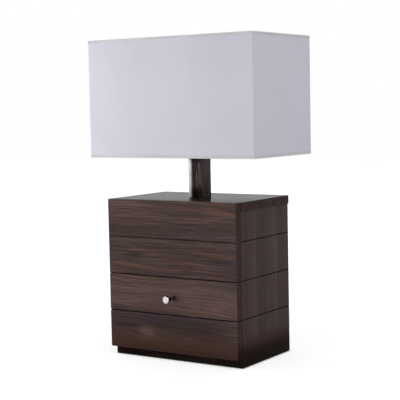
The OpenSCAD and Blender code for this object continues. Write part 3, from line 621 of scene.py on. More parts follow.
@dataclass(frozen=True)
class Veneer(Finish):
    """Lacquered wood with wandering grain lines, pores, slow changes of hue and coloured streaks.

    Painted shade darkens it towards its foot and inside its grooves, and on a top board the lacquer is
    glossy on the face and thin on the edges.
    """

    grain: Axis
    tones: Tones
    across: Axis = Axis.Z
    bands: Layer = BANDS
    lines: Layer = LINES
    fine: Layer = FINE_LINES
    pores: Layer = Layer(110, MM / 2.6, 1.0)
    hues: Layer = Layer(10, MM / 0.12)
    band_share: float = 0.26
    fine_share: float = 0.22
    contrast: float = 3.4
    wander: float = 5 * MM
    wander_pitch: float = 140 * MM
    wander_across: float = 2.6
    wander_detail: float = 1.5
    fall: float = 0.0
    pore_range: Range = (0.62, 0.74)
    pore_shade: float = 0.35
    cool_range: Range = (0.5, 0.66)
    olive_range: Range = (0.5, 0.36)
    hue_share: float = 0.38
    warm_share: float = 0.44
    glow_range: Range = (0.0, 1.1)
    band_glow: float = 0.9
    band_glow_from: float = 0.56
    thread_range: Range = (0.36, 0.62)
    thread_glow: float = 0.5
    least_glow: float = 0.1
    fine_glow: float = 2.6
    fine_glow_loss: float = 0.1
    streaks: tuple[Streak, ...] = ()
    tone_and_light_marks: tuple[Streak, ...] = ()
    # Painted shade near the floor: from foot_height down to foot_floor the colour falls to the share below
    # and turns warmer by foot_warmth.
    foot_painted_shade: float = 1.0
    foot_height: float = 46 * MM
    foot_floor: float = 11 * MM
    foot_ragged: float = 0.45
    foot_warmth: float = 0.0
    # Painted shade along the floors of the grooves, at these heights.
    grooves: tuple[float, ...] = ()
    groove_reach: Range = (1.0 * MM, 0.8 * MM)
    groove_painted_shade: float = 0.75
    gloss_above: float = -1.0
    gloss_depth: Range = (0.3 * MM, 0.1 * MM)
    edge_lacquer: float = 0.03
    edge_lift: float = 0.42
    line_relief: float = 0.5
    fine_relief: float = 0.3
    pore_relief: float = 0.6
    relief: float = 0.03 * MM
    roughness: float = 0.34
    line_roughness: float = 0.16
    gloss: float = 0.06
    lacquer: float = 0.07
    lacquer_roughness: float = 0.22

    def marks(self, along: Value, level: Value, rows: tuple[Streak, ...]) -> Value | float:
        """Add up streaks. Each is an ellipse along its slope that fades smoothly to its rim.

        Args:
            along: Place along the grain.
            level: Place across the grain, with its wander.
            rows: The streaks.

        Returns:
            Their strength at each point, or 0 without streaks.
        """
        total: Value | float = 0.0
        for streak in rows:
            run = along - streak.along
            far = (run / streak.half_along) ** 2.0
            off = ((level - streak.across - run * streak.slope) / streak.half_across) ** 2.0
            total = (far + off).between(1.0, 0.0) * streak.strength + total
        return total

    def paint(self, shader: Shader) -> None:
        """Lay slow bands, lines, fine lines and pores over each other, all stretched along the grain.

        Args:
            shader: The material in the making.
        """
        place = shader.place()
        along, across = place[self.grain.value], place[self.across.value]
        through = place[3 - self.grain.value - self.across.value]
        slow, slower = 1 / self.wander_pitch, self.wander_across / self.wander_pitch
        drift = shader.noise(along * slow, across * slower, through * slower, self.wander_detail) - 0.5
        level = across + drift * (2 * self.wander) + along * self.fall
        layers = (self.bands, self.lines, self.fine, self.pores, self.hues)
        bands, lines, fine, pores, hues = (shader.grain(layer, along, level, through) for layer in layers)
        pores = pores.between(*self.pore_range)

        line_share = 1 - self.band_share - self.fine_share
        mixed = bands * self.band_share + lines * line_share + fine * self.fine_share
        # The tone marks carry, on the front, a painted highlight and painted shade.
        tone = (mixed - 0.5) * self.contrast + 0.5 + self.marks(along, level, self.tone_and_light_marks)
        colour = shader.ramp(tone, self.tones.dark, self.tones.middle, self.tones.light)
        colour = shader.mix(hues.between(*self.cool_range) * self.hue_share, colour, self.tones.cool)
        colour = shader.mix(hues.between(*self.olive_range) * self.hue_share, colour, self.tones.olive)
        glow = self.marks(along, level, self.streaks) + (bands - self.band_glow_from) * self.band_glow
        threads = lines.between(*self.thread_range) * self.thread_glow + self.least_glow
        warmth = glow.between(*self.glow_range) * threads * (fine * self.fine_glow - self.fine_glow_loss)
        colour = shader.mix(warmth * self.warm_share, colour, self.tones.warm)

        shade = 1.0 - pores * self.pore_shade
        # Painted shade towards the foot, tinted warmer.
        if self.foot_painted_shade < 1:
            ragged = (self.foot_height - self.foot_floor) * self.foot_ragged
            foot = (place[2] + (lines - 0.5) * ragged).between(self.foot_height, self.foot_floor)
            colour = shader.mix(foot * self.foot_warmth, colour, self.tones.warm)
            shade = shade * (1.0 - foot * (1 - self.foot_painted_shade))
        # Painted shade inside the grooves.
        for groove in self.grooves:
            near = ((place[2] - groove) ** 2.0).between(*(reach**2 for reach in self.groove_reach))
            shade = shade * (1.0 - near * self.groove_painted_shade)
        lacquer: Value | float = self.lacquer
        if self.gloss_above > 0:
            face = place[2].between(*(self.gloss_above - depth for depth in self.gloss_depth))
            shade = shade * ((1.0 - face) * self.edge_lift + 1.0)
            lacquer = face * (self.lacquer - self.edge_lacquer) + self.edge_lacquer
        relief = lines * self.line_relief + fine * self.fine_relief - pores * self.pore_relief
        shader.cover({
            "Base Color": shader.shaded(colour, shade),
            "Roughness": lines * self.line_roughness + self.roughness,
            "Normal": shader.bump(relief, self.relief),
            "Specular IOR Level": self.gloss,
            "Coat Weight": lacquer,
            "Coat Roughness": self.lacquer_roughness,
        })


@dataclass(frozen=True)
class PlainWood(Finish):
    """Sealed pale board with soft grain and small flecks."""

    grain: Axis
    dark: Colour
    light: Colour
    roughness: float = 0.48
    line_roughness: float = 0.15
    wander: float = 8 * MM
    wander_along: float = 6
    wander_across: float = 12
    lines: Layer = Layer(5, 4 * MM, 4.0)
    contrast: float = 1.8
    flecks: Layer = Layer(140, MM / 1.5, 1.0)
    fleck_range: Range = (0.62, 0.74)
    fleck_share: float = 0.35
    fleck_relief: float = 0.5
    relief: float = 0.04 * MM

    def paint(self, shader: Shader) -> None:
        """Stretch two noises along the grain and scatter short flecks over them.

        Args:
            shader: The material in the making.
        """
        along, first, second = shader.across(self.grain)
        sides = (first * self.wander_across, second * self.wander_across)
        drift = (shader.noise(along * self.wander_along, *sides, 1.0) - 0.5) * self.wander
        lines = shader.grain(self.lines, along, first + drift, second + drift)
        flecks = shader.grain(self.flecks, along, first, second).between(*self.fleck_range)
        colour = shader.ramp((lines - 0.5) * self.contrast + 0.5, self.dark, self.light)
        shader.cover({
            "Base Color": shader.mix(flecks * self.fleck_share, colour, self.dark),
            "Roughness": lines * self.line_roughness + self.roughness,
            "Normal": shader.bump(lines - flecks * self.fleck_relief, self.relief),
        })


@dataclass(frozen=True)
class Metal(Finish):
    """Polished, drawn or brushed metal with faint lines and slight smudges."""

    colour: Colour
    smudge: Colour
    roughness: float
    brushed: Axis = Axis.Z
    line_roughness: float = 0.06
    relief: float = 0.002 * MM
    lines: Layer = Layer(12, MM / 2.8)
    clouds: Layer = Layer(60, MM / 0.06, 3.0)
    smudge_range: Range = (0.45, 0.75)
    smudge_share: float = 0.5
    smudge_roughness: float = 0.07

    def paint(self, shader: Shader) -> None:
        """Draw fine lines along the brushing and cloudy smudges that dull the shine.

        Args:
            shader: The material in the making.
        """
        place = shader.across(self.brushed)
        lines = shader.grain(self.lines, *place)
        smudges = shader.grain(self.clouds, *place).between(*self.smudge_range)
        shader.cover({
            "Base Color": shader.mix(smudges * self.smudge_share, self.colour, self.smudge),
            "Metallic": 1.0,
            "Roughness": lines * self.line_roughness + smudges * self.smudge_roughness + self.roughness,
            "Normal": shader.bump(lines, self.relief),
        })


@dataclass(frozen=True)
class RimmedMetal(Metal):
    """Polished metal of a round head, with a painted dark reflection round its rim."""

    # The rim's colour is a painted dark reflection.
    rim: Colour = (0.05, 0.04, 0.04, 1.0)
    rim_range: Range = (5.6 * MM, 6.1 * MM)
    axis_x: float = 0.0
    axis_z: float = 0.0

    def paint(self, shader: Shader) -> None:
        """Paint a dark reflection where the distance sqrt(x^2 + z^2) from the head's axis nears its radius.

        Args:
            shader: The material in the making.
        """
        super().paint(shader)
        x, _, z = shader.place()
        radius = ((x - self.axis_x) ** 2.0 + (z - self.axis_z) ** 2.0) ** 0.5
        shader.cover({"Base Color": shader.mix(radius.between(*self.rim_range), shader.colour, self.rim)})


@dataclass(frozen=True)
class RingedMetal(Metal):
    """Darkened metal of a turned stem, with a painted highlight round it in one ring."""

    # The ring's colour is a painted highlight.
    ring: Colour = WHITE
    stem_highlight_from: float = 0.0
    stem_highlight_to: float = 0.0
    fade: float = 0.4 * MM

    def paint(self, shader: Shader) -> None:
        """Paint a highlight where the place y lies within the ring.

        Args:
            shader: The material in the making.
        """
        super().paint(shader)
        _, y, _ = shader.place()
        # Painted highlight: a ring along the stem.
        begun = y.between(self.stem_highlight_from - self.fade, self.stem_highlight_from)
        band = begun * y.between(self.stem_highlight_to + self.fade, self.stem_highlight_to)
        shader.cover({"Base Color": shader.mix(band, shader.colour, self.ring)})


@dataclass(frozen=True)
class EdgedMetal(Metal):
    """Metal of an upright bar, blackened all over, with a painted highlight down its left front edge and a
    fainter painted highlight along its right edge.

    Widths run across the bar's front from its left edge.
    """

    painted_highlight: Colour = WHITE
    right_edge_highlight: Colour = WHITE
    left: float = 0.0
    width: float = 25 * MM
    highlight_to: float = 7 * MM
    highlight_fade: float = 4.5 * MM
    corner_dull: float = 0.5
    right_highlight_width: float = 4.5 * MM
    side: Colour = (0.02, 0.02, 0.02, 1.0)
    side_from: float = 0.0
    side_fade: float = 0.8 * MM
    polish: float = 0.8
    gloss: float = 0.1

    def paint(self, shader: Shader) -> None:
        """Paint a highlight towards the left edge, and a fainter one along the right edge.

        Args:
            shader: The material in the making.
        """
        super().paint(shader)
        x, y, _ = shader.place()
        across = x - self.left
        # Painted highlight: the light that the bar's left corner would reflect, painted into its colour, and
        # not metallic.
        highlight_mask = across.between(self.highlight_to + self.highlight_fade, self.highlight_to - self.highlight_fade)
        dull = across.between(self.highlight_to - self.highlight_fade, 0.0) * self.corner_dull
        colour = shader.mix(highlight_mask * (1.0 - dull), shader.colour, self.painted_highlight)
        colour = shader.mix(across.between(self.width - self.right_highlight_width, self.width), colour, self.right_edge_highlight)
        colour = shader.mix(y.between(self.side_from - self.side_fade, self.side_from), colour, self.side)
        metallic = (1.0 - highlight_mask) * self.polish
        shader.cover({"Base Color": colour, "Metallic": metallic, "Specular IOR Level": self.gloss})


@dataclass(frozen=True)
class Moulded(Finish):
    """Moulded plastic, rubber, lacquered wire or pressed card, with a fine grained skin."""

    colour: Colour
    speck: Colour
    roughness: float
    grain_pitch: float = 0.4 * MM
    relief: float = 0.02 * MM
    patch_ratio: float = 0.03
    patch_roughness: float = 0.12
    speck_range: Range = (0.42, 0.68)

    def paint(self, shader: Shader) -> None:
        """Mottle the colour slightly and give the skin its grain.

        Args:
            shader: The material in the making.
        """
        fine = [part / self.grain_pitch for part in shader.place()]
        grain = shader.noise(*fine)
        patches = shader.noise(*(part * self.patch_ratio for part in fine), 3.0)
        specks = (grain * 0.5 + patches * 0.5).between(*self.speck_range)
        shader.cover({
            "Base Color": shader.mix(specks, self.colour, self.speck),
            "Roughness": patches * self.patch_roughness + self.roughness,
            "Normal": shader.bump(grain, self.relief),
        })


@dataclass(frozen=True)
class Felt(Finish):
    """Pressed felt: tangled short fibres with a dusty sheen. Fibres are counted per metre."""

    colour: Colour
    fibre: Colour
    sheen: float = 0.4
    along_fibre: float = 700
    across_fibre: float = 2500
    fibre_range: Range = (0.2, 0.45)
    relief: float = 0.2 * MM
    roughness: float = 0.95
    gloss: float = 0.1

    def paint(self, shader: Shader) -> None:
        """Tangle two noises that are stretched across each other.

        Args:
            shader: The material in the making.
        """
        x, y, z = shader.place()
        few, many = self.along_fibre, self.across_fibre
        tangle = shader.noise(x * many, y * few, z * many) * shader.noise(x * few, y * many, z * many)
        shader.cover({
            "Base Color": shader.mix(tangle.between(*self.fibre_range), self.colour, self.fibre),
            "Roughness": self.roughness,
            "Normal": shader.bump(tangle, self.relief),
            "Specular IOR Level": self.gloss,
            "Sheen Weight": self.sheen,
        })


@dataclass(frozen=True)
class Cloth(Finish):
    """Plain woven cloth on a stiff backing. The weave follows the piece's own thread lengths."""

    colour: Colour
    shadow: Colour
    thread: float = 0.42 * MM
    slub_rate: float = 25
    cloud_rate: float = 9
    slub_share: float = 0.6
    cloud_share: float = 0.4
    crossing_share: float = 0.04
    crossing_relief: float = 0.4
    shade_range: Range = (0.36, 0.62)
    relief: float = 0.05 * MM
    roughness: float = 0.85
    sheen: float = 0.15

    def paint(self, shader: Shader) -> None:
        """Cross two sets of threads, sin(u) sin(v), whose thickness wanders as in spun yarn.

        Args:
            shader: The material in the making.
        """
        u, v = shader.threads()
        waves = math.pi / self.thread
        crossing = shader.math("SINE", u * waves) * shader.math("SINE", v * waves)
        # Each noise is cut at a level of its own, so that the three don't look alike.
        warp = shader.noise(u / self.thread, v * self.slub_rate, 0.0)
        weft = shader.noise(u * self.slub_rate, v / self.thread, 7.0)
        cloud = shader.noise(u * self.cloud_rate, v * self.cloud_rate, 3.0)
        slubs = (warp + weft) * 0.5
        shade = slubs * self.slub_share + cloud * self.cloud_share + crossing * self.crossing_share
        shader.cover({
            "Base Color": shader.mix(shade.between(*self.shade_range), self.shadow, self.colour),
            "Roughness": self.roughness,
            "Normal": shader.bump(crossing * self.crossing_relief + slubs, self.relief),
            "Sheen Weight": self.sheen,
        })


@dataclass(frozen=True)
class OpalGlass(Finish):
    """Unlit opal glass: milky, smooth, with a very slight cloudiness."""

    colour: Colour
    cloud: Colour
    cloud_rate: float = 45
    cloud_range: Range = (0.35, 0.65)
    cloud_roughness: float = 0.06
    roughness: float = 0.16
    coat: float = 0.4
    coat_roughness: float = 0.08

    def paint(self, shader: Shader) -> None:
        """Cloud the white slightly and keep the surface glossy.

        Args:
            shader: The material in the making.
        """
        mist = shader.noise(*(part * self.cloud_rate for part in shader.place()))
        shader.cover({
            "Base Color": shader.mix(mist.between(*self.cloud_range), self.colour, self.cloud),
            "Roughness": mist * self.cloud_roughness + self.roughness,
            "Coat Weight": self.coat,
            "Coat Roughness": self.coat_roughness,
        })


WALNUT = Tones(dark=rgb(42, 31, 30), middle=rgb(71, 54, 52), light=rgb(108, 84, 79), warm=rgb(142, 92, 70),
               cool=rgb(67, 54, 63), olive=rgb(73, 60, 49))
SIDE_WALNUT = replace(WALNUT, dark=rgb(56, 44, 44), middle=rgb(80, 66, 66), light=rgb(112, 92, 90),
                      warm=rgb(110, 76, 66), cool=rgb(76, 66, 72))
ESPRESSO = Tones(dark=rgb(40, 31, 30), middle=rgb(56, 45, 43), light=rgb(72, 58, 54), warm=rgb(74, 55, 47),
                 cool=rgb(56, 48, 49), olive=rgb(54, 48, 40))
# The espresso tones made lighter for the post: painted light that makes up for the shade under the lampshade.
POST_LIT_TONES = replace(ESPRESSO, dark=rgb(74, 60, 61), middle=rgb(110, 92, 95), light=rgb(146, 124, 127),
                     cool=rgb(106, 88, 97))
BAND_TONES = replace(ESPRESSO, middle=rgb(67, 54, 53), light=rgb(87, 71, 69))
# The espresso tones made much darker for the plinth: partly its own colour, partly painted shade under the
# front boards.
PLINTH_SHADED_TONES = replace(ESPRESSO, dark=rgb(16, 9, 8), middle=rgb(28, 17, 15), light=rgb(40, 25, 22))

# Along, across, half sizes along and across, strength and slope.
FRONT_STREAKS = streaks(
    (-78, 268, 62, 3.2, 0.8, -0.02), (-34, 266, 12, 2.2, 1.3), (34, 267, 46, 3.6, 1.3, -0.06),
    (60, 271, 70, 2.6, 0.8, -0.04), (106, 261, 44, 6.5, 1.4, -0.1), (0, 238, 80, 3, 0.5, -0.03),
    (-70, 232, 50, 2, 0.5), (-60, 193, 76, 2.6, 0.8, -0.03), (-78, 195, 10, 1.6, 1.0),
    (70, 192, 66, 3.6, 1.2, -0.06), (108, 188, 28, 2.2, 1.4), (-90, 163, 60, 6, 0.9, -0.04),
    (-20, 160, 60, 6, 0.8, -0.05), (40, 172, 74, 9, 0.55, -0.05), (90, 160, 50, 5, 0.6),
    (-70, 142, 60, 3, 0.8, 0.02), (16, 139, 34, 4, 0.9), (-80, 122, 60, 2, 0.5),
    (70, 92, 64, 4.5, 0.9, -0.03), (100, 103, 34, 2.2, 0.7), (-56, 38, 34, 6, 0.6),
    (36, 49, 7, 3, 1.0), (30, 33, 120, 7, 0.3, 0.01), (-96, 38, 40, 9, 0.5),
)
# Marks of tone over the front boards. The mark at -54, 47 is a painted highlight, a soft reflection on the
# lowest board; the broad dark mark at 48 over that board is partly its own tone and partly painted shade.
FRONT_TONES_AND_PAINTED_LIGHT = streaks(
    (-24, 275, 120, 4, -0.25, -0.02), (30, 258, 50, 4, -0.3, -0.05), (-78, 182, 30, 7, -0.3),
    (98, 181, 40, 4, -0.3), (0, 200, 110, 7, -0.2, -0.03), (0, 68, 150, 13, -0.22),
    (-100, 56, 34, 9, -0.25), (60, 55, 70, 16, -0.15), (0, 18, 140, 8, -0.3),
    (0, 48, 400, 38, -0.28), (-54, 47, 26, 11, 0.5), (0, 114, 400, 40, 0.34),
)
SIDE_SHADES = streaks(
    (140, -36, 200, 1.5, 0.3), (140, -28, 200, 1.8, 0.34), (140, -46, 200, 1.4, 0.2),
    (140, -5, 220, 18, -0.08), (180, 38, 160, 12, 0.16),
)

# Their foot values paint shade near the floor, and on the post near the top board.
FRONT_VENEER = Veneer(
    "walnut_front", Axis.X, WALNUT, lines=replace(LINES, pitch=2.2 * MM),
    fine=replace(FINE_LINES, pitch=1.4 * MM), fine_share=0.36, contrast=3.7, wander=9 * MM,
    wander_pitch=170 * MM, fall=0.02, streaks=FRONT_STREAKS, tone_and_light_marks=FRONT_TONES_AND_PAINTED_LIGHT, foot_painted_shade=0.27,
    foot_height=62 * MM, foot_floor=14 * MM, foot_warmth=0.42)
SIDE_VENEER = Veneer(
    "walnut_side", Axis.Z, SIDE_WALNUT, Axis.Y, bands=replace(BANDS, pitch=14 * MM),
    lines=replace(LINES, pitch=2.2 * MM), contrast=1.3, wander=2 * MM, wander_pitch=220 * MM, warm_share=0.3,
    tone_and_light_marks=SIDE_SHADES, foot_painted_shade=0.1, foot_height=62 * MM, foot_floor=17 * MM, foot_warmth=0.7, gloss=0.0,
    lacquer=0.05)
POST_VENEER = Veneer(
    "walnut_post", Axis.Z, POST_LIT_TONES, Axis.Y, bands=replace(BANDS, pitch=8 * MM),
    lines=replace(LINES, pitch=2.6 * MM), contrast=3.0, wander=1.5 * MM, foot_painted_shade=0.45,
    foot_height=335 * MM, foot_floor=283 * MM, gloss=0.0, lacquer=0.05)
TOP_VENEER = Veneer(
    "walnut_top", Axis.X, ESPRESSO, Axis.Y, roughness=0.27, gloss=0.0, lacquer=0.33, lacquer_roughness=0.05)
EDGE_BAND = Veneer(
    "edge_band", Axis.Z, BAND_TONES, Axis.Y, contrast=1.2, foot_painted_shade=0.25, foot_height=56 * MM,
    foot_floor=20 * MM, gloss=0.0, lacquer=0.04)
DARK_PANEL = Veneer("dark_panel", Axis.Z, ESPRESSO, Axis.X, contrast=1.3, roughness=0.42)
PLINTH = Veneer(
    "plinth_board", Axis.X, PLINTH_SHADED_TONES, contrast=1.3, roughness=0.42, gloss=0.0, lacquer=0.03)
BOX_BOARD = PlainWood("box_board", Axis.X, rgb(150, 124, 96), rgb(184, 158, 128))
SIDE_BOARD = PlainWood("drawer_side_board", Axis.Y, rgb(156, 130, 101), rgb(190, 164, 133))
RUNNER_WOOD = PlainWood("runner_wood", Axis.Y, rgb(160, 128, 90), rgb(196, 166, 124), 0.33)
BASE_FELT = Felt("base_felt", rgb(24, 23, 24), rgb(58, 56, 58))
# Black felt behind the drawer's gaps: a dark sheet that stands in for the shade in them.
GAP_SHADE_FELT = Felt("gap_shade_felt", rgb(12, 9, 9), rgb(24, 20, 20), 0.0)
POST_METAL = Metal("black_nickel", rgb(48, 38, 37), rgb(38, 30, 29), 0.12)
# The bar's two light colours are painted highlights.
BAR_METAL = EdgedMetal(
    "edged_black_nickel", rgb(44, 33, 33), rgb(36, 27, 27), 0.14, painted_highlight=rgb(255, 250, 248),
    right_edge_highlight=rgb(72, 65, 65))
# The stem's ring colour is a painted highlight on darkened metal.
STEM_METAL = RingedMetal(
    "darkened_stem", rgb(44, 35, 33), rgb(34, 27, 25), 0.24, Axis.Y, ring=rgb(250, 238, 230))
FACE_METAL = RimmedMetal(
    "knob_face_nickel", rgb(212, 200, 199), rgb(192, 178, 176), 0.12, Axis.Y, 0.03, 0.0005 * MM)
NICKEL = Metal("polished_nickel", rgb(232, 224, 220), rgb(206, 196, 190), 0.07, Axis.Y, 0.03, 0.0005 * MM)
BRASS = Metal("drawn_brass", rgb(214, 176, 108), rgb(176, 136, 80), 0.24)
SOCKET_METAL = Metal("plated_socket", rgb(214, 206, 196), rgb(180, 170, 158), 0.22)
STEEL = Metal("zinc_screws", rgb(180, 180, 184), rgb(150, 148, 146), 0.32, line_roughness=0.12)
CAP_METAL = Metal("rolled_cap", rgb(206, 206, 208), rgb(170, 170, 172), 0.26)
WHITE_WIRE = Moulded("white_wire", rgb(226, 226, 228), rgb(214, 214, 216), 0.32)
BLACK_PLASTIC = Moulded("black_plastic", rgb(26, 26, 27), rgb(34, 34, 35), 0.36)
BLACK_RUBBER = Moulded("black_rubber", rgb(30, 30, 31), rgb(44, 43, 43), 0.69)
CARD = Moulded("pressed_card", rgb(120, 98, 72), rgb(146, 122, 92), 0.84, 0.8 * MM)
BACKING_FILM = Moulded("backing_film", rgb(236, 236, 238), rgb(228, 228, 231), 0.29, 2 * MM, 0.005 * MM)
SHADE_CLOTH = Cloth("shade_cloth", rgb(226, 225, 236), rgb(219, 218, 229))
HEM_TAPE = Cloth("hem_tape", rgb(228, 226, 230), rgb(208, 205, 210), thread=0.36 * MM)
OPAL = OpalGlass("opal_glass", rgb(240, 238, 232), rgb(232, 229, 222))


def dress(finish: Finish, *nodes: str) -> None:
    """Give nodes of the frame a finish.

    Args:
        finish: The finish.
        *nodes: Names of the nodes, whose shapes stay as they are.
    """
    for node in nodes:
        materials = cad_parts[node].data.materials
        materials.clear()
        materials.append(finish.material())
        log.info("%s: dressed in %s", node, finish.name)


# ---- Box ----


@dataclass(frozen=True)
class CrossHead:
    """A domed screw head that faces +Y, with a cross cut into it. Its shares are of its radius."""

    radius: float = 3 * MM
    dome: float = 70.0
    arm: float = 0.2
    arm_fade: float = 0.05
    reach: float = 0.65
    reach_fade: float = 0.06
    cut: float = 0.5
    rings: int = 14
    sides: int = 48

    def add(self, draft: Draft, centre: np.ndarray, height: float) -> None:
        """Add the head to a draft.

        The height over the disc is h cos(dome * r / R), less half of h in a cross. The cross lies
        where |x| or |z| is below a fifth of the radius, and it fades out towards 0.65 of it.

        Args:
            draft: Where the head goes.
            centre: Middle of its foot.
            height: Its height.
        """
        r = np.linspace(0, 1, self.rings + 1)[:, None]
        a = full_turn(self.sides)[None]
        x, z = r * np.cos(a), r * np.sin(a)
        thick = np.clip((self.arm - np.minimum(np.abs(x), np.abs(z))) / self.arm_fade, 0, 1)
        cross = thick * np.clip((self.reach - r) / self.reach_fade, 0, 1)
        dome = height * np.cos(np.radians(r * self.dome)) - self.cut * height * cross
        points = np.stack([x * self.radius, np.broadcast_to(dome, x.shape), z * self.radius], -1) + centre
        foot = points[-1] * [1, 0, 1] + np.array([0, centre[1], 0])
        draft.grid(points, around=True).grid(np.stack([points[-1], foot]), around=True).cap(foot)


@dataclass
class Box:
    """The box base: boards, grooves, felt and fixings."""

    edge: float = 0.8 * MM
    back_edge: float = 0.2 * MM
    panel_foot: float = 0.3 * MM
    panel_rear: float = 0.5 * MM
    bands: int = 4
    gap: float = 1.8 * MM
    groove_lip: float = 0.3 * MM
    front_groove: float = 3 * MM
    side_groove: float = 2 * MM
    strip_back: float = 1.5 * MM
    strip_clear: float = 0.1 * MM
    strip_edge: float = 0.1 * MM
    grommet_bore: float = 3.5 * MM
    grommet_flange: float = 2 * MM
    grommet_neck: float = 2.6 * MM
    grommet_lip: float = 0.6 * MM

    def __post_init__(self) -> None:
        """Read the levels of the three lines from the frame, and put them into the veneers."""
        top, foot = extent("upper_front").high[2], extent("lower_front").low[2]
        self.lines = [top - (top - foot) / self.bands * k for k in range(1, self.bands)]
        self.front_veneer = replace(FRONT_VENEER, grooves=tuple(self.lines))
        self.side_veneer = replace(SIDE_VENEER, grooves=tuple(self.lines))
        self.top_veneer = replace(TOP_VENEER, gloss_above=extent("top_board").high[2])

    def groove(self, face: float, floor: float, level: float) -> tuple[list[Point], list[float]]:
        """Draw a groove into a board's outline.

        Args:
            face: Place of the board's face.
            floor: Place of the groove's floor.
            level: Height of its middle.

        Returns:
            Its corners from the lower lip to the upper one, and their radii.
        """
        under, above = level - self.gap / 2, level + self.gap / 2
        corners = [(face, under), (floor, under), (floor, above), (face, above)]
        return corners, [self.groove_lip, 0.0, 0.0, self.groove_lip]

    def front_board(self, node: str, body: Body = Body.BASE, level: float | None = None) -> None:
        """Make one front board.

        Args:
            node: The node that it stands for.
            body: The body that it moves with.
            level: Height of a groove along its face, if it has one.
        """
        board = extent(node)
        outline = board.outline(Axis.X)
        radii = [self.edge, self.back_edge, self.back_edge, self.edge]
        if level is not None:
            corners, lips = self.groove(board.low[1], board.low[1] + self.front_groove, level)
            outline += corners[::-1]
            radii += lips
        draft = Draft().carry(rounded(outline, radii), Axis.X, board.low[0], board.high[0])
        draft.piece(f"{node}_board", self.front_veneer, body, "walnut_veneer", (node,))

    def side_panel(self, node: str) -> None:
        """Make one side panel with its three grooves.

        Args:
            node: The node that it stands for.
        """
        low, high = extent(node).low, extent(node).high
        outer, inner = (high[0], low[0]) if high[0] > 0 else (low[0], high[0])
        floor = outer - math.copysign(self.side_groove, outer)
        outline = [(inner, low[2]), (outer, low[2])]
        radii = [0.0, self.panel_foot]
        for level in reversed(self.lines):
            corners, lips = self.groove(outer, floor, level)
            outline += corners
            radii += lips
        outline += [(outer, high[2]), (inner, high[2])]
        radii += [0.0, 0.0]
        draft = Draft().carry(rounded(outline, radii), Axis.Y, low[1], high[1], (0.0, self.panel_rear))
        draft.piece(f"{node}_board", self.side_veneer, Body.BASE, "walnut_veneer", (node,))

    def top_board(self) -> None:
        """Make the glossy top board, rounded over at its sides and back."""
        draft = Draft().block(extent("top_board"), Axis.Y, self.edge, (0.0, self.edge))
        draft.piece("top_board_gloss", self.top_veneer, Body.BASE, "dark_top", ("top_board",))

    def gap_shade_strips(self) -> None:
        """Close the two gaps round the drawer front with thin black felt strips, set back from the faces, as
        painted shade inside the gaps.
        """
        drawer, bands = extent("drawer_front"), extent("front_end_bands")
        upper, lower = extent("upper_front"), extent("lower_front")
        above, below = drawer.high[2] + self.strip_clear, drawer.low[2] - self.strip_clear
        left, right = bands.low[0] + self.strip_clear, bands.high[0] - self.strip_clear
        for name, board, foot, head in (("upper_gap_shade_strip", upper, above, upper.low[2]),
                                        ("lower_gap_shade_strip", lower, lower.high[2], below)):
            front, rear = board.low[1] + self.strip_back, board.high[1]
            strip = Extent(np.array([left, front, foot]), np.array([right, rear, head]))
            Draft().block(strip, Axis.X, self.strip_edge).piece(name, GAP_SHADE_FELT, Body.BASE, "felt")

    def screws(self) -> None:
        """Make the back panel's screw heads: three down each side, the middle one at the shelf."""
        screws, face, head = extent("back_panel_screws"), extent("back_panel").high[1], CrossHead()
        low, high = screws.low + head.radius, screws.high - head.radius
        draft = Draft()
        for side in (low[0], high[0]):
            for level in (low[2], extent("drawer_shelf").middle[2], high[2]):
                head.add(draft, np.array([side, face, level]), screws.high[1] - face)
        draft.piece("back_screw_heads", STEEL, Body.BASE, "screw_steel", ("back_panel_screws",))

    def grommet(self) -> None:
        """Turn the cord's bushing: a rubber ring with a groove that grips the back panel."""
        ring = extent("cord_bushing")
        length, flange, lip = ring.size[1], self.grommet_flange, self.grommet_lip
        outer = ring.size[2] / 2
        neck, rim = outer - self.grommet_neck, outer - lip
        corners = [(self.grommet_bore, 0), (rim, 0), (outer, flange), (neck, flange), (neck, length - flange),
                   (outer, length - flange), (rim, length), (self.grommet_bore, length)]
        profile = rounded(corners, [lip, lip, lip, 0, 0, lip, lip, lip])
        closed = np.concatenate([profile, profile[:1]])
        draft = Draft().turn(closed, (0, ring.low[1], ring.middle[2]), Axis.Y)
        draft.piece("cord_grommet", BLACK_RUBBER, Body.BASE, "black_rubber", ("cord_bushing",))

    def build(self) -> None:
        """Make and dress every piece of the box."""
        self.front_board("upper_front", level=self.lines[0])
        self.front_board("lower_front")
        self.side_panel("left_side_panel")
        self.side_panel("right_side_panel")
        self.top_board()
        self.gap_shade_strips()
        self.screws()
        self.grommet()
        dress(EDGE_BAND, "front_end_bands")
        dress(PLINTH, "front_plinth", "rear_plinth")
        dress(DARK_PANEL, "back_panel")
        dress(BOX_BOARD, "bottom_board", "drawer_shelf", "upper_divider", "drawer_stop")
        dress(RUNNER_WOOD, "left_runner", "right_runner")
        dress(STEEL, "runner_screws")
        dress(BASE_FELT, "base_felt")


# ---- Drawer ----


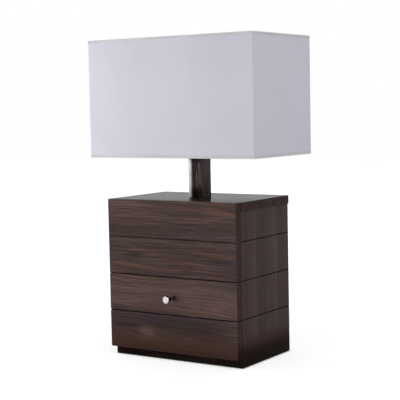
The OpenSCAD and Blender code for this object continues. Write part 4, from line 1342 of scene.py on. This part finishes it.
@dataclass
class Drawer:
    """The drawer: its front board, box and knob."""

    box: Box
    lower_edge: float = 0.3 * MM
    upper_edge: float = 2 * MM
    rim: float = 1.5 * MM
    dish: float = 0.4 * MM
    dish_radius: float = 3.5 * MM
    dish_flat: float = 0.6
    seat_radius: float = 2.6 * MM
    stem_radius: float = 2.5 * MM
    foot: float = 1.6 * MM
    foot_lip: float = 0.6 * MM
    foot_edge: float = 0.5 * MM
    # The knob stem's painted highlight: a ring this far in front of the stem's back and this wide.
    stem_highlight_back: float = 8 * MM
    ring: float = 2.4 * MM

    def wall(self, node: str, axis: Axis, finish: Finish) -> None:
        """Make one wall of the drawer box, with its upper edges rounded.

        Args:
            node: The node that it stands for.
            axis: The way that the wall runs.
            finish: Its finish.
        """
        draft = Draft().block(extent(node), axis, [self.lower_edge] * 2 + [self.upper_edge] * 2)
        draft.piece(f"{node}_board", finish, Body.DRAWER, "raw_board", (node,))

    def knob_head(self) -> None:
        """Turn the knob's head: a disc with rounded rims and a shallow dish in its face."""
        knob = extent("knob_head")
        centre = (knob.middle[0], knob.low[1], knob.middle[2])
        rim, thick, bend = knob.size[0] / 2 - self.rim, knob.size[1], self.dish / 2
        profile = np.concatenate([
            [(0, self.dish), (self.dish_radius * self.dish_flat, self.dish)],
            arc((self.dish_radius, bend), bend, 90, -90, 4),
            arc((rim, self.rim), self.rim, -90, 0, 8),
            arc((rim, thick - self.rim), self.rim, 0, 90, 8),
            [(self.seat_radius, thick), (0, thick)],
        ])
        face = replace(FACE_METAL, axis_x=centre[0], axis_z=centre[2])
        draft = Draft().turn(profile, centre, Axis.Y)
        draft.piece("knob_disc", face, Body.DRAWER, "knob_nickel", ("knob_head",))

    def knob_stem(self) -> None:
        """Turn the knob's stem, which flares into a round foot."""
        stem = extent("knob_stem")
        centre = (stem.middle[0], stem.low[1], stem.middle[2])
        foot, length = stem.size[0] / 2, stem.size[1]
        flare, shoulder = foot - self.stem_radius - self.foot_lip, length - self.foot
        profile = np.concatenate([
            [(0, 0), (self.stem_radius, 0), (self.stem_radius, shoulder - flare)],
            arc((self.stem_radius + flare, shoulder - flare), flare, 180, 90, 6),
            arc((foot - self.foot_edge, shoulder + self.foot_edge), self.foot_edge, -90, 0, 4),
            [(foot, length), (0, length)],
        ])
        start = stem.high[1] - self.stem_highlight_back
        metal = replace(STEM_METAL, stem_highlight_from=start, stem_highlight_to=start + self.ring)
        draft = Draft().turn(profile, centre, Axis.Y, steps=48)
        draft.piece("knob_post", metal, Body.DRAWER, "knob_nickel", ("knob_stem",))

    def build(self) -> None:
        """Make and dress every piece of the drawer."""
        self.box.front_board("drawer_front", Body.DRAWER)
        for node in ("drawer_left_side", "drawer_right_side"):
            self.wall(node, Axis.Y, SIDE_BOARD)
        for node in ("drawer_box_front", "drawer_back"):
            self.wall(node, Axis.X, BOX_BOARD)
        self.knob_head()
        self.knob_stem()
        dress(EDGE_BAND, "drawer_front_end_bands")
        dress(BOX_BOARD, "drawer_bottom")
        dress(STEEL, "knob_screw", "drawer_front_screws")


# ---- Post ----


@dataclass
class Post:
    """The short post: a veneered core, a polished bar down its front and a cap plate."""

    core_front: float = 0.2 * MM
    core_rear: float = 0.6 * MM
    bar_corner: float = 6 * MM
    bar_end: float = 0.3 * MM
    bar_side: float = 0.8

    def build(self) -> None:
        """Make the post's core and bar, and dress its plate and the tube's parts."""
        draft = Draft().block(extent("post_core"), Axis.Z, [self.core_front] * 2 + [self.core_rear] * 2)
        draft.piece("post_veneered_core", POST_VENEER, Body.BASE, "walnut_veneer", ("post_core",))
        bar, r = extent("post_front_bar"), self.bar_corner
        (left, front, foot), (right, rear, head) = bar.low, bar.high
        outline = np.concatenate([
            [(right, rear), (left, rear)],
            arc((left + r, front + r), r, 180, 270, 12),
            arc((right - r, front + r), r, 270, 360, 12),
        ])
        draft = Draft().carry(outline, Axis.Z, foot, head, (self.bar_end, self.bar_end))
        metal = replace(BAR_METAL, left=left, width=bar.size[0], side_from=front + self.bar_side * r)
        draft.piece("post_polished_bar", metal, Body.BASE, "post_metal", ("post_front_bar",))
        dress(POST_METAL, "post_cap_plate")
        dress(BRASS, "threaded_tube", "tube_nut")
        dress(STEEL, "tube_washer")


# ---- Harp, socket and bulb ----


@dataclass
class Light:
    """What stands inside the shade: harp, finial, socket, switch key and bulb."""

    finial_ball: float = 6 * MM
    finial_waist: float = 4.2 * MM
    finial_bevel: float = 0.3 * MM
    finial_lip: float = 0.5 * MM
    finial_lip_height: float = 0.7 * MM
    finial_neck: tuple[Point, ...] = ((0.5 * MM, 1.7 * MM), (0.0, 2.4 * MM))
    bulb_neck: float = 12.55 * MM
    bulb_throat: float = 9 * MM
    bulb_curve: float = 7 * MM
    globe_from: float = -42.0
    thread_pitch: float = 3.6 * MM
    thread_depth: float = 0.6 * MM
    cap_rim: float = 1 * MM
    key_ridges: int = 7
    ridge_depth: float = 0.12
    ridge_bend: float = 0.7
    end_from: float = 0.08
    end_bend: float = 8
    end_width: float = 0.5
    end_thick: float = 0.35
    key_half_thick: float = 1.5 * MM
    key_paddle: float = 12 * MM
    key_stem: float = 2 * MM
    key_overlap: float = 1 * MM
    key_oval: float = 0.6

    def finial(self) -> None:
        """Turn the finial: a flanged foot, a waist and a ball."""
        finial = extent("finial")
        ball, foot = self.finial_ball, finial.size[0] / 2
        start = -math.degrees(math.acos(self.finial_waist / ball))
        profile = np.concatenate([
            [(0, 0), (foot - self.finial_bevel, 0)],
            arc((foot - self.finial_lip, self.finial_lip_height), self.finial_lip, -60, 80, 5),
            [(self.finial_waist + out, height) for out, height in self.finial_neck],
            arc((0, finial.size[2] - ball), ball, start, 90, 20),
        ])
        draft = Draft().turn(profile, (*finial.middle[:2], finial.low[2]))
        draft.piece("finial_ball", NICKEL, Body.FINIAL, "knob_nickel", ("finial",), crease=50)

    def globe(self) -> None:
        """Turn the bulb's glass: a ball that runs down into a straight neck."""
        glass = extent("bulb_glass")
        radius, neck = glass.size[0] / 2, self.bulb_neck
        ball = arc((0, glass.size[2] - radius), radius, self.globe_from, 90, 32)
        corners = [(neck, 0), (neck, self.bulb_throat), (ball[0, 0], ball[0, 1]), (0, ball[0, 1])]
        throat = rounded(corners, [0, self.bulb_curve, 0, 0], 8)[:-2]
        draft = Draft().turn(np.concatenate([[(0, 0)], throat, ball]), (0, glass.middle[1], glass.low[2]))
        draft.piece("bulb_globe", OPAL, Body.BULB, "bulb_opal", ("bulb_glass",), crease=60)

    def cap(self) -> None:
        """Make the bulb's screw cap with a true helical thread.

        The cap's radius is root + depth * (1 + cos(2 pi z / pitch - a)) / 2, which climbs one pitch
        in each turn. The thread fades to the root at both ends, and the upper rim is plain.
        """
        cap = extent("bulb_screw_cap")
        crest, length = cap.size[0] / 2, cap.size[2]
        pitch, depth, plain = self.thread_pitch, self.thread_depth, length - self.cap_rim
        z = np.linspace(0, length, 60)[:, None]
        a = full_turn(64)[None]
        fade = np.clip(z / pitch, 0, 1) * np.clip((plain - z) / pitch, 0, 1)
        r = crest - depth + depth * fade * (1 + np.cos(2 * np.pi * z / pitch - a)) / 2
        r = np.where(z > plain, crest, r)
        points = np.stack([r * np.cos(a), r * np.sin(a), np.broadcast_to(z, r.shape)], -1)
        points += [0, extent("bulb_glass").middle[1], cap.low[2]]
        draft = Draft().grid(points, around=True).cap(points[0]).cap(points[-1])
        draft.piece("bulb_thread", CAP_METAL, Body.BULB, "bulb_cap_metal", ("bulb_screw_cap",))

    def key(self) -> None:
        """Make the switch key: a round stem and a flat oval paddle with ridges across it.

        Across the paddle the outline is (w |cos a|^oval, t |sin a|^oval) with the signs of both. The
        thickness t sinks by depth * |sin(pi * ridges * s)|^bend * sin(a)^2 along s from 0 to 1. The
        outline narrows towards both ends by sqrt(1 - e^end_bend), where e grows from the middle to 1.
        """
        key = extent("switch_key")
        paddle, stem, overlap = self.key_paddle, self.key_stem, self.key_overlap
        s = np.linspace(0, 1, 57)[:, None]
        a = full_turn(40)[None]
        across, through = (np.sign(wave) * np.abs(wave) ** self.key_oval for wave in (np.cos(a), np.sin(a)))
        ridges = np.abs(np.sin(np.pi * self.key_ridges * s)) ** self.ridge_bend * np.sin(a) ** 2
        far = np.clip(np.abs(2 * s - 1) * (1 + self.end_from) - self.end_from, 0, 1)
        wide, thick = (least + (1 - least) * np.sqrt(1 - far**self.end_bend)
                       for least in (self.end_width, self.end_thick))
        x = key.size[0] / 2 * across * wide
        z = self.key_half_thick * through * (1 - self.ridge_depth * ridges) * thick
        y = np.broadcast_to(key.low[1] + paddle * s, x.shape)
        points = np.stack([x, y, z + key.middle[2]], -1)
        draft = Draft().grid(points, around=True).cap(points[0]).cap(points[-1])
        length = key.size[1] - paddle + overlap
        profile = np.array([(0, 0), (stem, 0), (stem, length), (0, length)])
        draft.turn(profile, (0, key.low[1] + paddle - overlap, key.middle[2]), Axis.Y, steps=32)
        draft.piece("switch_paddle", BLACK_PLASTIC, Body.SWITCH, "black_plastic", ("switch_key",))

    def build(self) -> None:
        """Make and dress every piece inside the shade."""
        self.finial()
        self.globe()
        self.cap()
        self.key()
        dress(BRASS, "harp_saddle", "harp", "harp_sleeves", "screw_shell", "centre_contact")
        dress(SOCKET_METAL, "socket_cap", "socket_shell")
        dress(CARD, "socket_sleeve")
        dress(BLACK_PLASTIC, "socket_core", "bulb_insulator")


# ---- Shade ----


@dataclass
class Shade:
    """The rectangular shade: one cloth on a stiff backing, hems over its edges, and wire frames."""

    cloth_thick: float = 0.8 * MM
    corner: float = 3.4 * MM
    side_step: float = 6 * MM
    seam_from_corner: float = 15 * MM
    lap_points: int = 3
    lap_rise: tuple[float, ...] = (0.3, 0.5, 0.5, 0.5)
    softness: float = 0.13 * MM
    wave_x: Range = (3.1, 1.3)
    wave_y: Range = (4.4, -0.7)
    wave_z: float = 2.4
    side_waves: float = 0.6
    corner_hold: float = 3.0
    belly: float = 0.7
    wall: float = 1.5 * MM
    hem_height: float = 4 * MM
    hem_thick: float = 0.4 * MM
    hem_start: float = 1 * MM
    outer_fold: tuple[Point, ...] = ((0.0, -0.5 * MM), (-0.15 * MM, -0.1 * MM), (-0.5 * MM, 0.0))
    inner_fold: tuple[Point, ...] = ((0.5 * MM, 0.0), (0.0, -0.3 * MM))
    turn_in: float = 1 * MM
    wire: float = 1.5 * MM
    wire_corner: float = 5 * MM
    ring: float = 12 * MM
    ring_bore: float = 3.4 * MM
    ring_thick: float = 2 * MM
    ring_edge: float = 0.3 * MM
    hub: float = 10 * MM
    arm_rise: float = 1 * MM

    def __post_init__(self) -> None:
        """Read the shade's size from the frame."""
        front, back = extent("shade_front_panel"), extent("shade_back_panel")
        self.half = np.array([front.high[0], (back.high[1] - front.low[1]) / 2])
        self.shift = [0, (back.high[1] + front.low[1]) / 2]
        self.low, self.high = front.low[2], front.high[2]

    def around(self) -> tuple[np.ndarray, np.ndarray]:
        """Follow the shade's outline once.

        The outline is a rectangle with round corners. Each straight side is cut into even steps.

        Returns:
            The points and their outward directions.
        """
        x, y = self.half - self.corner
        ends = [arc(centre, self.corner, start, start + 90, 6)
                for centre, start in (((-x, y), 90), ((-x, -y), 180), ((x, -y), 270), ((x, y), 0))]
        line = []
        for first, second in zip(ends, ends[1:] + ends[:1]):
            count = max(2, round(np.linalg.norm(second[0] - first[-1]) / self.side_step))
            t = np.linspace(0, 1, count, endpoint=False)[1:, None]
            line += [first, first[-1] * (1 - t) + second[0] * t]
        path = np.concatenate(line)
        along = np.roll(path, -1, 0) - np.roll(path, 1, 0)
        return path, unit(np.stack([along[:, 1], -along[:, 0]], -1))

    def give(self, path: np.ndarray, height: np.ndarray) -> np.ndarray:
        """Work out how far the stretched cloth gives inwards between the frame's wires.

        Slow waves cos(kx x + px) cos(kz z) + side_waves cos(ky y + py), lowered to stay below 0, that
        vanish at the edges and corners. They stay within the backing and don't show inside it.

        Args:
            path: The points round the shade.
            height: The heights of the rows.

        Returns:
            The way outwards, for each point and row.
        """
        x, y = path[:, 0] / self.half[0], path[:, 1] / self.half[1]
        edge = np.clip((1 - np.minimum(np.abs(x), np.abs(y))) * self.corner_hold, 0, 1)
        span = (height - self.low) / (self.high - self.low)
        belly = np.sin(np.pi * span)[None] ** self.belly
        front, side = (np.cos(rate * part + shift)[:, None]
                       for part, (rate, shift) in ((x, self.wave_x), (y, self.wave_y)))
        waves = front * np.cos(self.wave_z * span)[None] + self.side_waves * side
        return self.softness * (waves - (1 + self.side_waves)) * belly * edge[:, None]

    def cloth(self) -> None:
        """Wrap one cloth round the four sides, lapped over itself on the back."""
        path, outward = self.around()
        seam = np.argmin(np.abs(path[:, 0] + self.half[0] - self.seam_from_corner) + (path[:, 1] < 0))
        path, outward = (np.roll(rows, -seam, 0) for rows in (path, outward))
        path, outward = (np.concatenate([rows, rows[:self.lap_points]]) for rows in (path, outward))
        lap = np.zeros(len(path))
        lap[-len(self.lap_rise):] = self.cloth_thick * np.array(self.lap_rise)
        height = np.linspace(self.low, self.high, 36)
        stand = self.give(path, height) + lap[:, None]
        flat = path[:, None] + outward[:, None] * stand[..., None]
        rows = np.broadcast_to(height[None], stand.shape)
        points = np.concatenate([flat + self.shift, rows[..., None]], -1)
        length = travelled(path)
        weave = np.stack([np.broadcast_to(length[:, None], stand.shape), rows], -1)
        made = Draft().grid(points, weave=weave).piece(
            "shade_wrap", SHADE_CLOTH, Body.SHADE, "shade_fabric",
            ("shade_front_panel", "shade_back_panel", "shade_left_panel", "shade_right_panel"), crease=60)
        thicken(made, self.cloth_thick, -1)

    def hem(self, node: str, edge: float, way: float) -> None:
        """Fold a tape over one edge of the shade.

        Args:
            node: The node that it stands for.
            edge: Height of the shade's edge.
            way: 1 for the upper edge and -1 for the lower.
        """
        path, outward = self.around()
        inner, outer, tall = -self.wall - self.hem_thick, self.hem_thick / 2, self.hem_height
        legs = np.array([
            (outer, -tall), (outer, -tall / 2),
            *((outer + out, up) for out, up in self.outer_fold),
            *((inner + out, up) for out, up in self.inner_fold),
            (inner, -tall / 2), (inner, -tall - self.turn_in),
        ])
        legs[:, 1] += self.hem_thick / 2
        flat = path[:, None] + outward[:, None] * legs[None, :, :1]
        height = np.broadcast_to(edge + way * legs[None, :, 1], flat.shape[:2])
        points = np.concatenate([flat + self.shift, height[..., None]], -1)
        length, over = travelled(path), travelled(legs)
        weave = np.stack(np.broadcast_arrays(length[:, None], over[None]), -1) + self.hem_start
        closed = np.concatenate([points, points[:1]])
        last = weave[-1:] + [float(np.linalg.norm(path[0] - path[-1])), 0]
        draft = Draft().grid(closed, weave=np.concatenate([weave, last]))
        made = draft.piece(f"{node}_tape", HEM_TAPE, Body.SHADE, "shade_hem", (node,), crease=60)
        thicken(made, self.hem_thick, 0)

    def frames(self) -> None:
        """Bend the two wire loops. The upper one has four arms that drop to its ring."""
        for node in ("shade_top_frame", "shade_bottom_frame"):
            box, draft = extent(node), Draft()
            level = box.high[2] - self.wire if node == "shade_top_frame" else box.middle[2]
            inset = np.array([self.wire, self.wire, 0])
            outline = rounded(Extent(box.low + inset, box.high - inset).outline(Axis.Z), self.wire_corner, 8)
            loop = np.insert(outline, 2, level, axis=1)
            draft.sweep(loop, self.wire, closed=True)
            if node == "shade_top_frame":
                self.spider(draft, box, level)
            draft.piece(f"{node}_wire", WHITE_WIRE, Body.SHADE, "frame_wire", (node,))

    def spider(self, draft: Draft, box: Extent, level: float) -> None:
        """Add the four arms and the ring that sits on the harp.

        Args:
            draft: Where they go.
            box: The frame's box.
            level: Height of the loop that the arms start from.
        """
        reach = box.size[:2] / 2 - self.wire
        low = box.low[2] + self.arm_rise
        t = np.linspace(0, 1, 14)[:, None]
        for side in ((1, 0), (-1, 0), (0, 1), (0, -1)):
            way = np.array(side, float)
            flat = box.middle[:2] + way * (self.hub + (abs(way @ reach) - self.hub) * t)
            draft.sweep(np.concatenate([flat, low + (level - low) * t], -1), self.wire)
        corners = [(self.ring_bore, 0), (self.ring, 0), (self.ring, self.ring_thick),
                   (self.ring_bore, self.ring_thick)]
        washer = rounded(corners, self.ring_edge)
        draft.turn(np.concatenate([washer, washer[:1]]), (*box.middle[:2], box.low[2]))

    def build(self) -> None:
        """Make and dress every piece of the shade."""
        self.cloth()
        self.hem("shade_top_hem", self.high, 1)
        self.hem("shade_bottom_hem", self.low, -1)
        self.frames()
        dress(BACKING_FILM, "shade_liner")


# ---- Studio ----


@dataclass(frozen=True)
class SoftBox:
    """A square soft light: its name, its middle, its width and height, and its power in watts."""

    name: str
    place: Place
    size: float
    power: float


@dataclass
class Studio:
    """Floor, light and camera. Angles are in degrees, and the focal length is in pixels."""

    picture_width: int = 400
    focal_length: float = 1128.55
    sensor: float = 36.0
    yaw: float = 33.465
    pitch: float = 4.742
    roll: float = -1.179
    eye: Place = (1.0994, -1.6567, 0.4384)
    clip: Range = (0.05, 50.0)
    floor_size: float = 12.0
    floor_colour: Colour = rgb(232, 232, 232)
    floor_roughness: float = 0.9
    floor_gloss: float = 0.1
    floor_glow: float = 0.64
    far_range: Range = (0.3, 1.6)
    far_glow: float = 0.3
    # Painted contact shadow: how far from the felt the glow sinks, and how low it goes.
    contact: float = 6 * MM
    contact_shadow_glow: float = 0.1
    world_light: float = 0.3
    target: Place = (0.0, 0.0, 0.3)
    lights: tuple[SoftBox, ...] = (
        SoftBox("key", (-0.4, -1.75, 0.16), 0.22, 6.1),
        SoftBox("side", (-0.5, -0.42, 0.46), 0.3, 1.05),
        SoftBox("fill", (1.7, -0.9, 0.9), 1.2, 9.2),
        SoftBox("back", (0.7, 2.0, 1.0), 1.0, 9.0),
    )

    def camera(self) -> None:
        """Place the camera from its yaw, pitch and roll."""
        y, p, r = (math.radians(a) for a in (self.yaw, self.pitch, self.roll))
        ahead = np.array([-math.sin(y) * math.cos(p), math.cos(y) * math.cos(p), -math.sin(p)])
        right = np.array([math.cos(y), math.sin(y), 0.0])
        up = np.cross(right, ahead)
        right, up = math.cos(r) * right + math.sin(r) * up, math.cos(r) * up - math.sin(r) * right
        data = bpy.data.cameras.new("camera")
        data.sensor_width, data.lens = self.sensor, self.sensor * self.focal_length / self.picture_width
        data.clip_start, data.clip_end = self.clip
        made = bpy.data.objects.new("camera", data)
        turn = Matrix(np.stack([right, up, -ahead], -1).tolist()).to_4x4()
        made.matrix_world = Matrix.Translation(self.eye) @ turn
        bpy.context.scene.collection.objects.link(made)
        bpy.context.scene.camera = made

    def hang(self, light: SoftBox) -> None:
        """Hang a soft light so that it faces the middle of the lamp.

        Args:
            light: The light.
        """
        data = bpy.data.lights.new(light.name, "AREA")
        data.size, data.energy = light.size, light.power
        made = bpy.data.objects.new(light.name, data)
        back = Vector(light.place) - Vector(self.target)
        made.rotation_euler = back.to_track_quat("Z", "Y").to_euler()
        made.location = light.place
        bpy.context.scene.collection.objects.link(made)

    def world(self) -> None:
        """Light everything evenly, and show white to the camera, to metal and through glass."""
        world = bpy.data.worlds.new("studio")
        world.use_nodes = True
        nodes = Nodes(world.node_tree)
        seen = nodes.rays("Camera", "Glossy", "Transmission")
        strength = seen * (1 - self.world_light) + self.world_light
        nodes.feed(nodes.tree.nodes["Background"], {"Color": WHITE, "Strength": strength})
        bpy.context.scene.world = world

    def floor(self) -> None:
        """Lay a pale floor that keeps the lamp's shadow and shows white to the camera elsewhere.

        The glow rises with the distance sqrt(x^2 + y^2) from the lamp, and sinks close to the felt as a
        painted contact shadow.
        """
        half = self.floor_size / 2
        corners = [(-half, -half, 0), (half, -half, 0), (half, half, 0), (-half, half, 0)]
        mesh = bpy.data.meshes.new("floor")
        mesh.from_pydata(corners, [], [(0, 1, 2, 3)])
        made = bpy.data.objects.new("floor", mesh)
        bpy.context.scene.collection.objects.link(made)
        shader = Shader("floor_paper")
        x, y, _ = shader.place()
        felt = extent("base_felt")
        beside, before = (shader.math("ABSOLUTE", part - middle) - size / 2
                          for part, middle, size in zip((x, y), felt.middle, felt.size))
        # Painted contact shadow: the glow sinks within the contact distance of the felt's outline.
        free = beside.highest(before).between(0.0, self.contact) * (1 - self.contact_shadow_glow) + self.contact_shadow_glow
        far = ((x * x + y * y) ** 0.5).between(*self.far_range)
        glow = shader.rays("Camera", "Glossy") * (far * self.far_glow + self.floor_glow) * free
        shader.cover({
            "Base Color": self.floor_colour,
            "Roughness": self.floor_roughness,
            "Specular IOR Level": self.floor_gloss,
            "Emission Color": shader.mix(glow, BLACK, WHITE),
            "Emission Strength": 1.0,
        })
        mesh.materials.append(shader.material)

    def build(self) -> None:
        """Set up the camera, the floor and the light."""
        bpy.context.scene.view_settings.view_transform = "Standard"
        self.camera()
        self.world()
        self.floor()
        for light in self.lights:
            self.hang(light)


def main() -> None:
    """Build the lamp piece by piece."""
    logging.basicConfig(level=logging.INFO, format="%(name)s %(message)s")
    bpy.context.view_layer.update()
    box = Box()
    for assembly in (Studio(), box, Drawer(box), Post(), Light(), Shade()):
        log.info("%s", type(assembly).__name__)
        assembly.build()


if __name__ == "__main__":
    main()
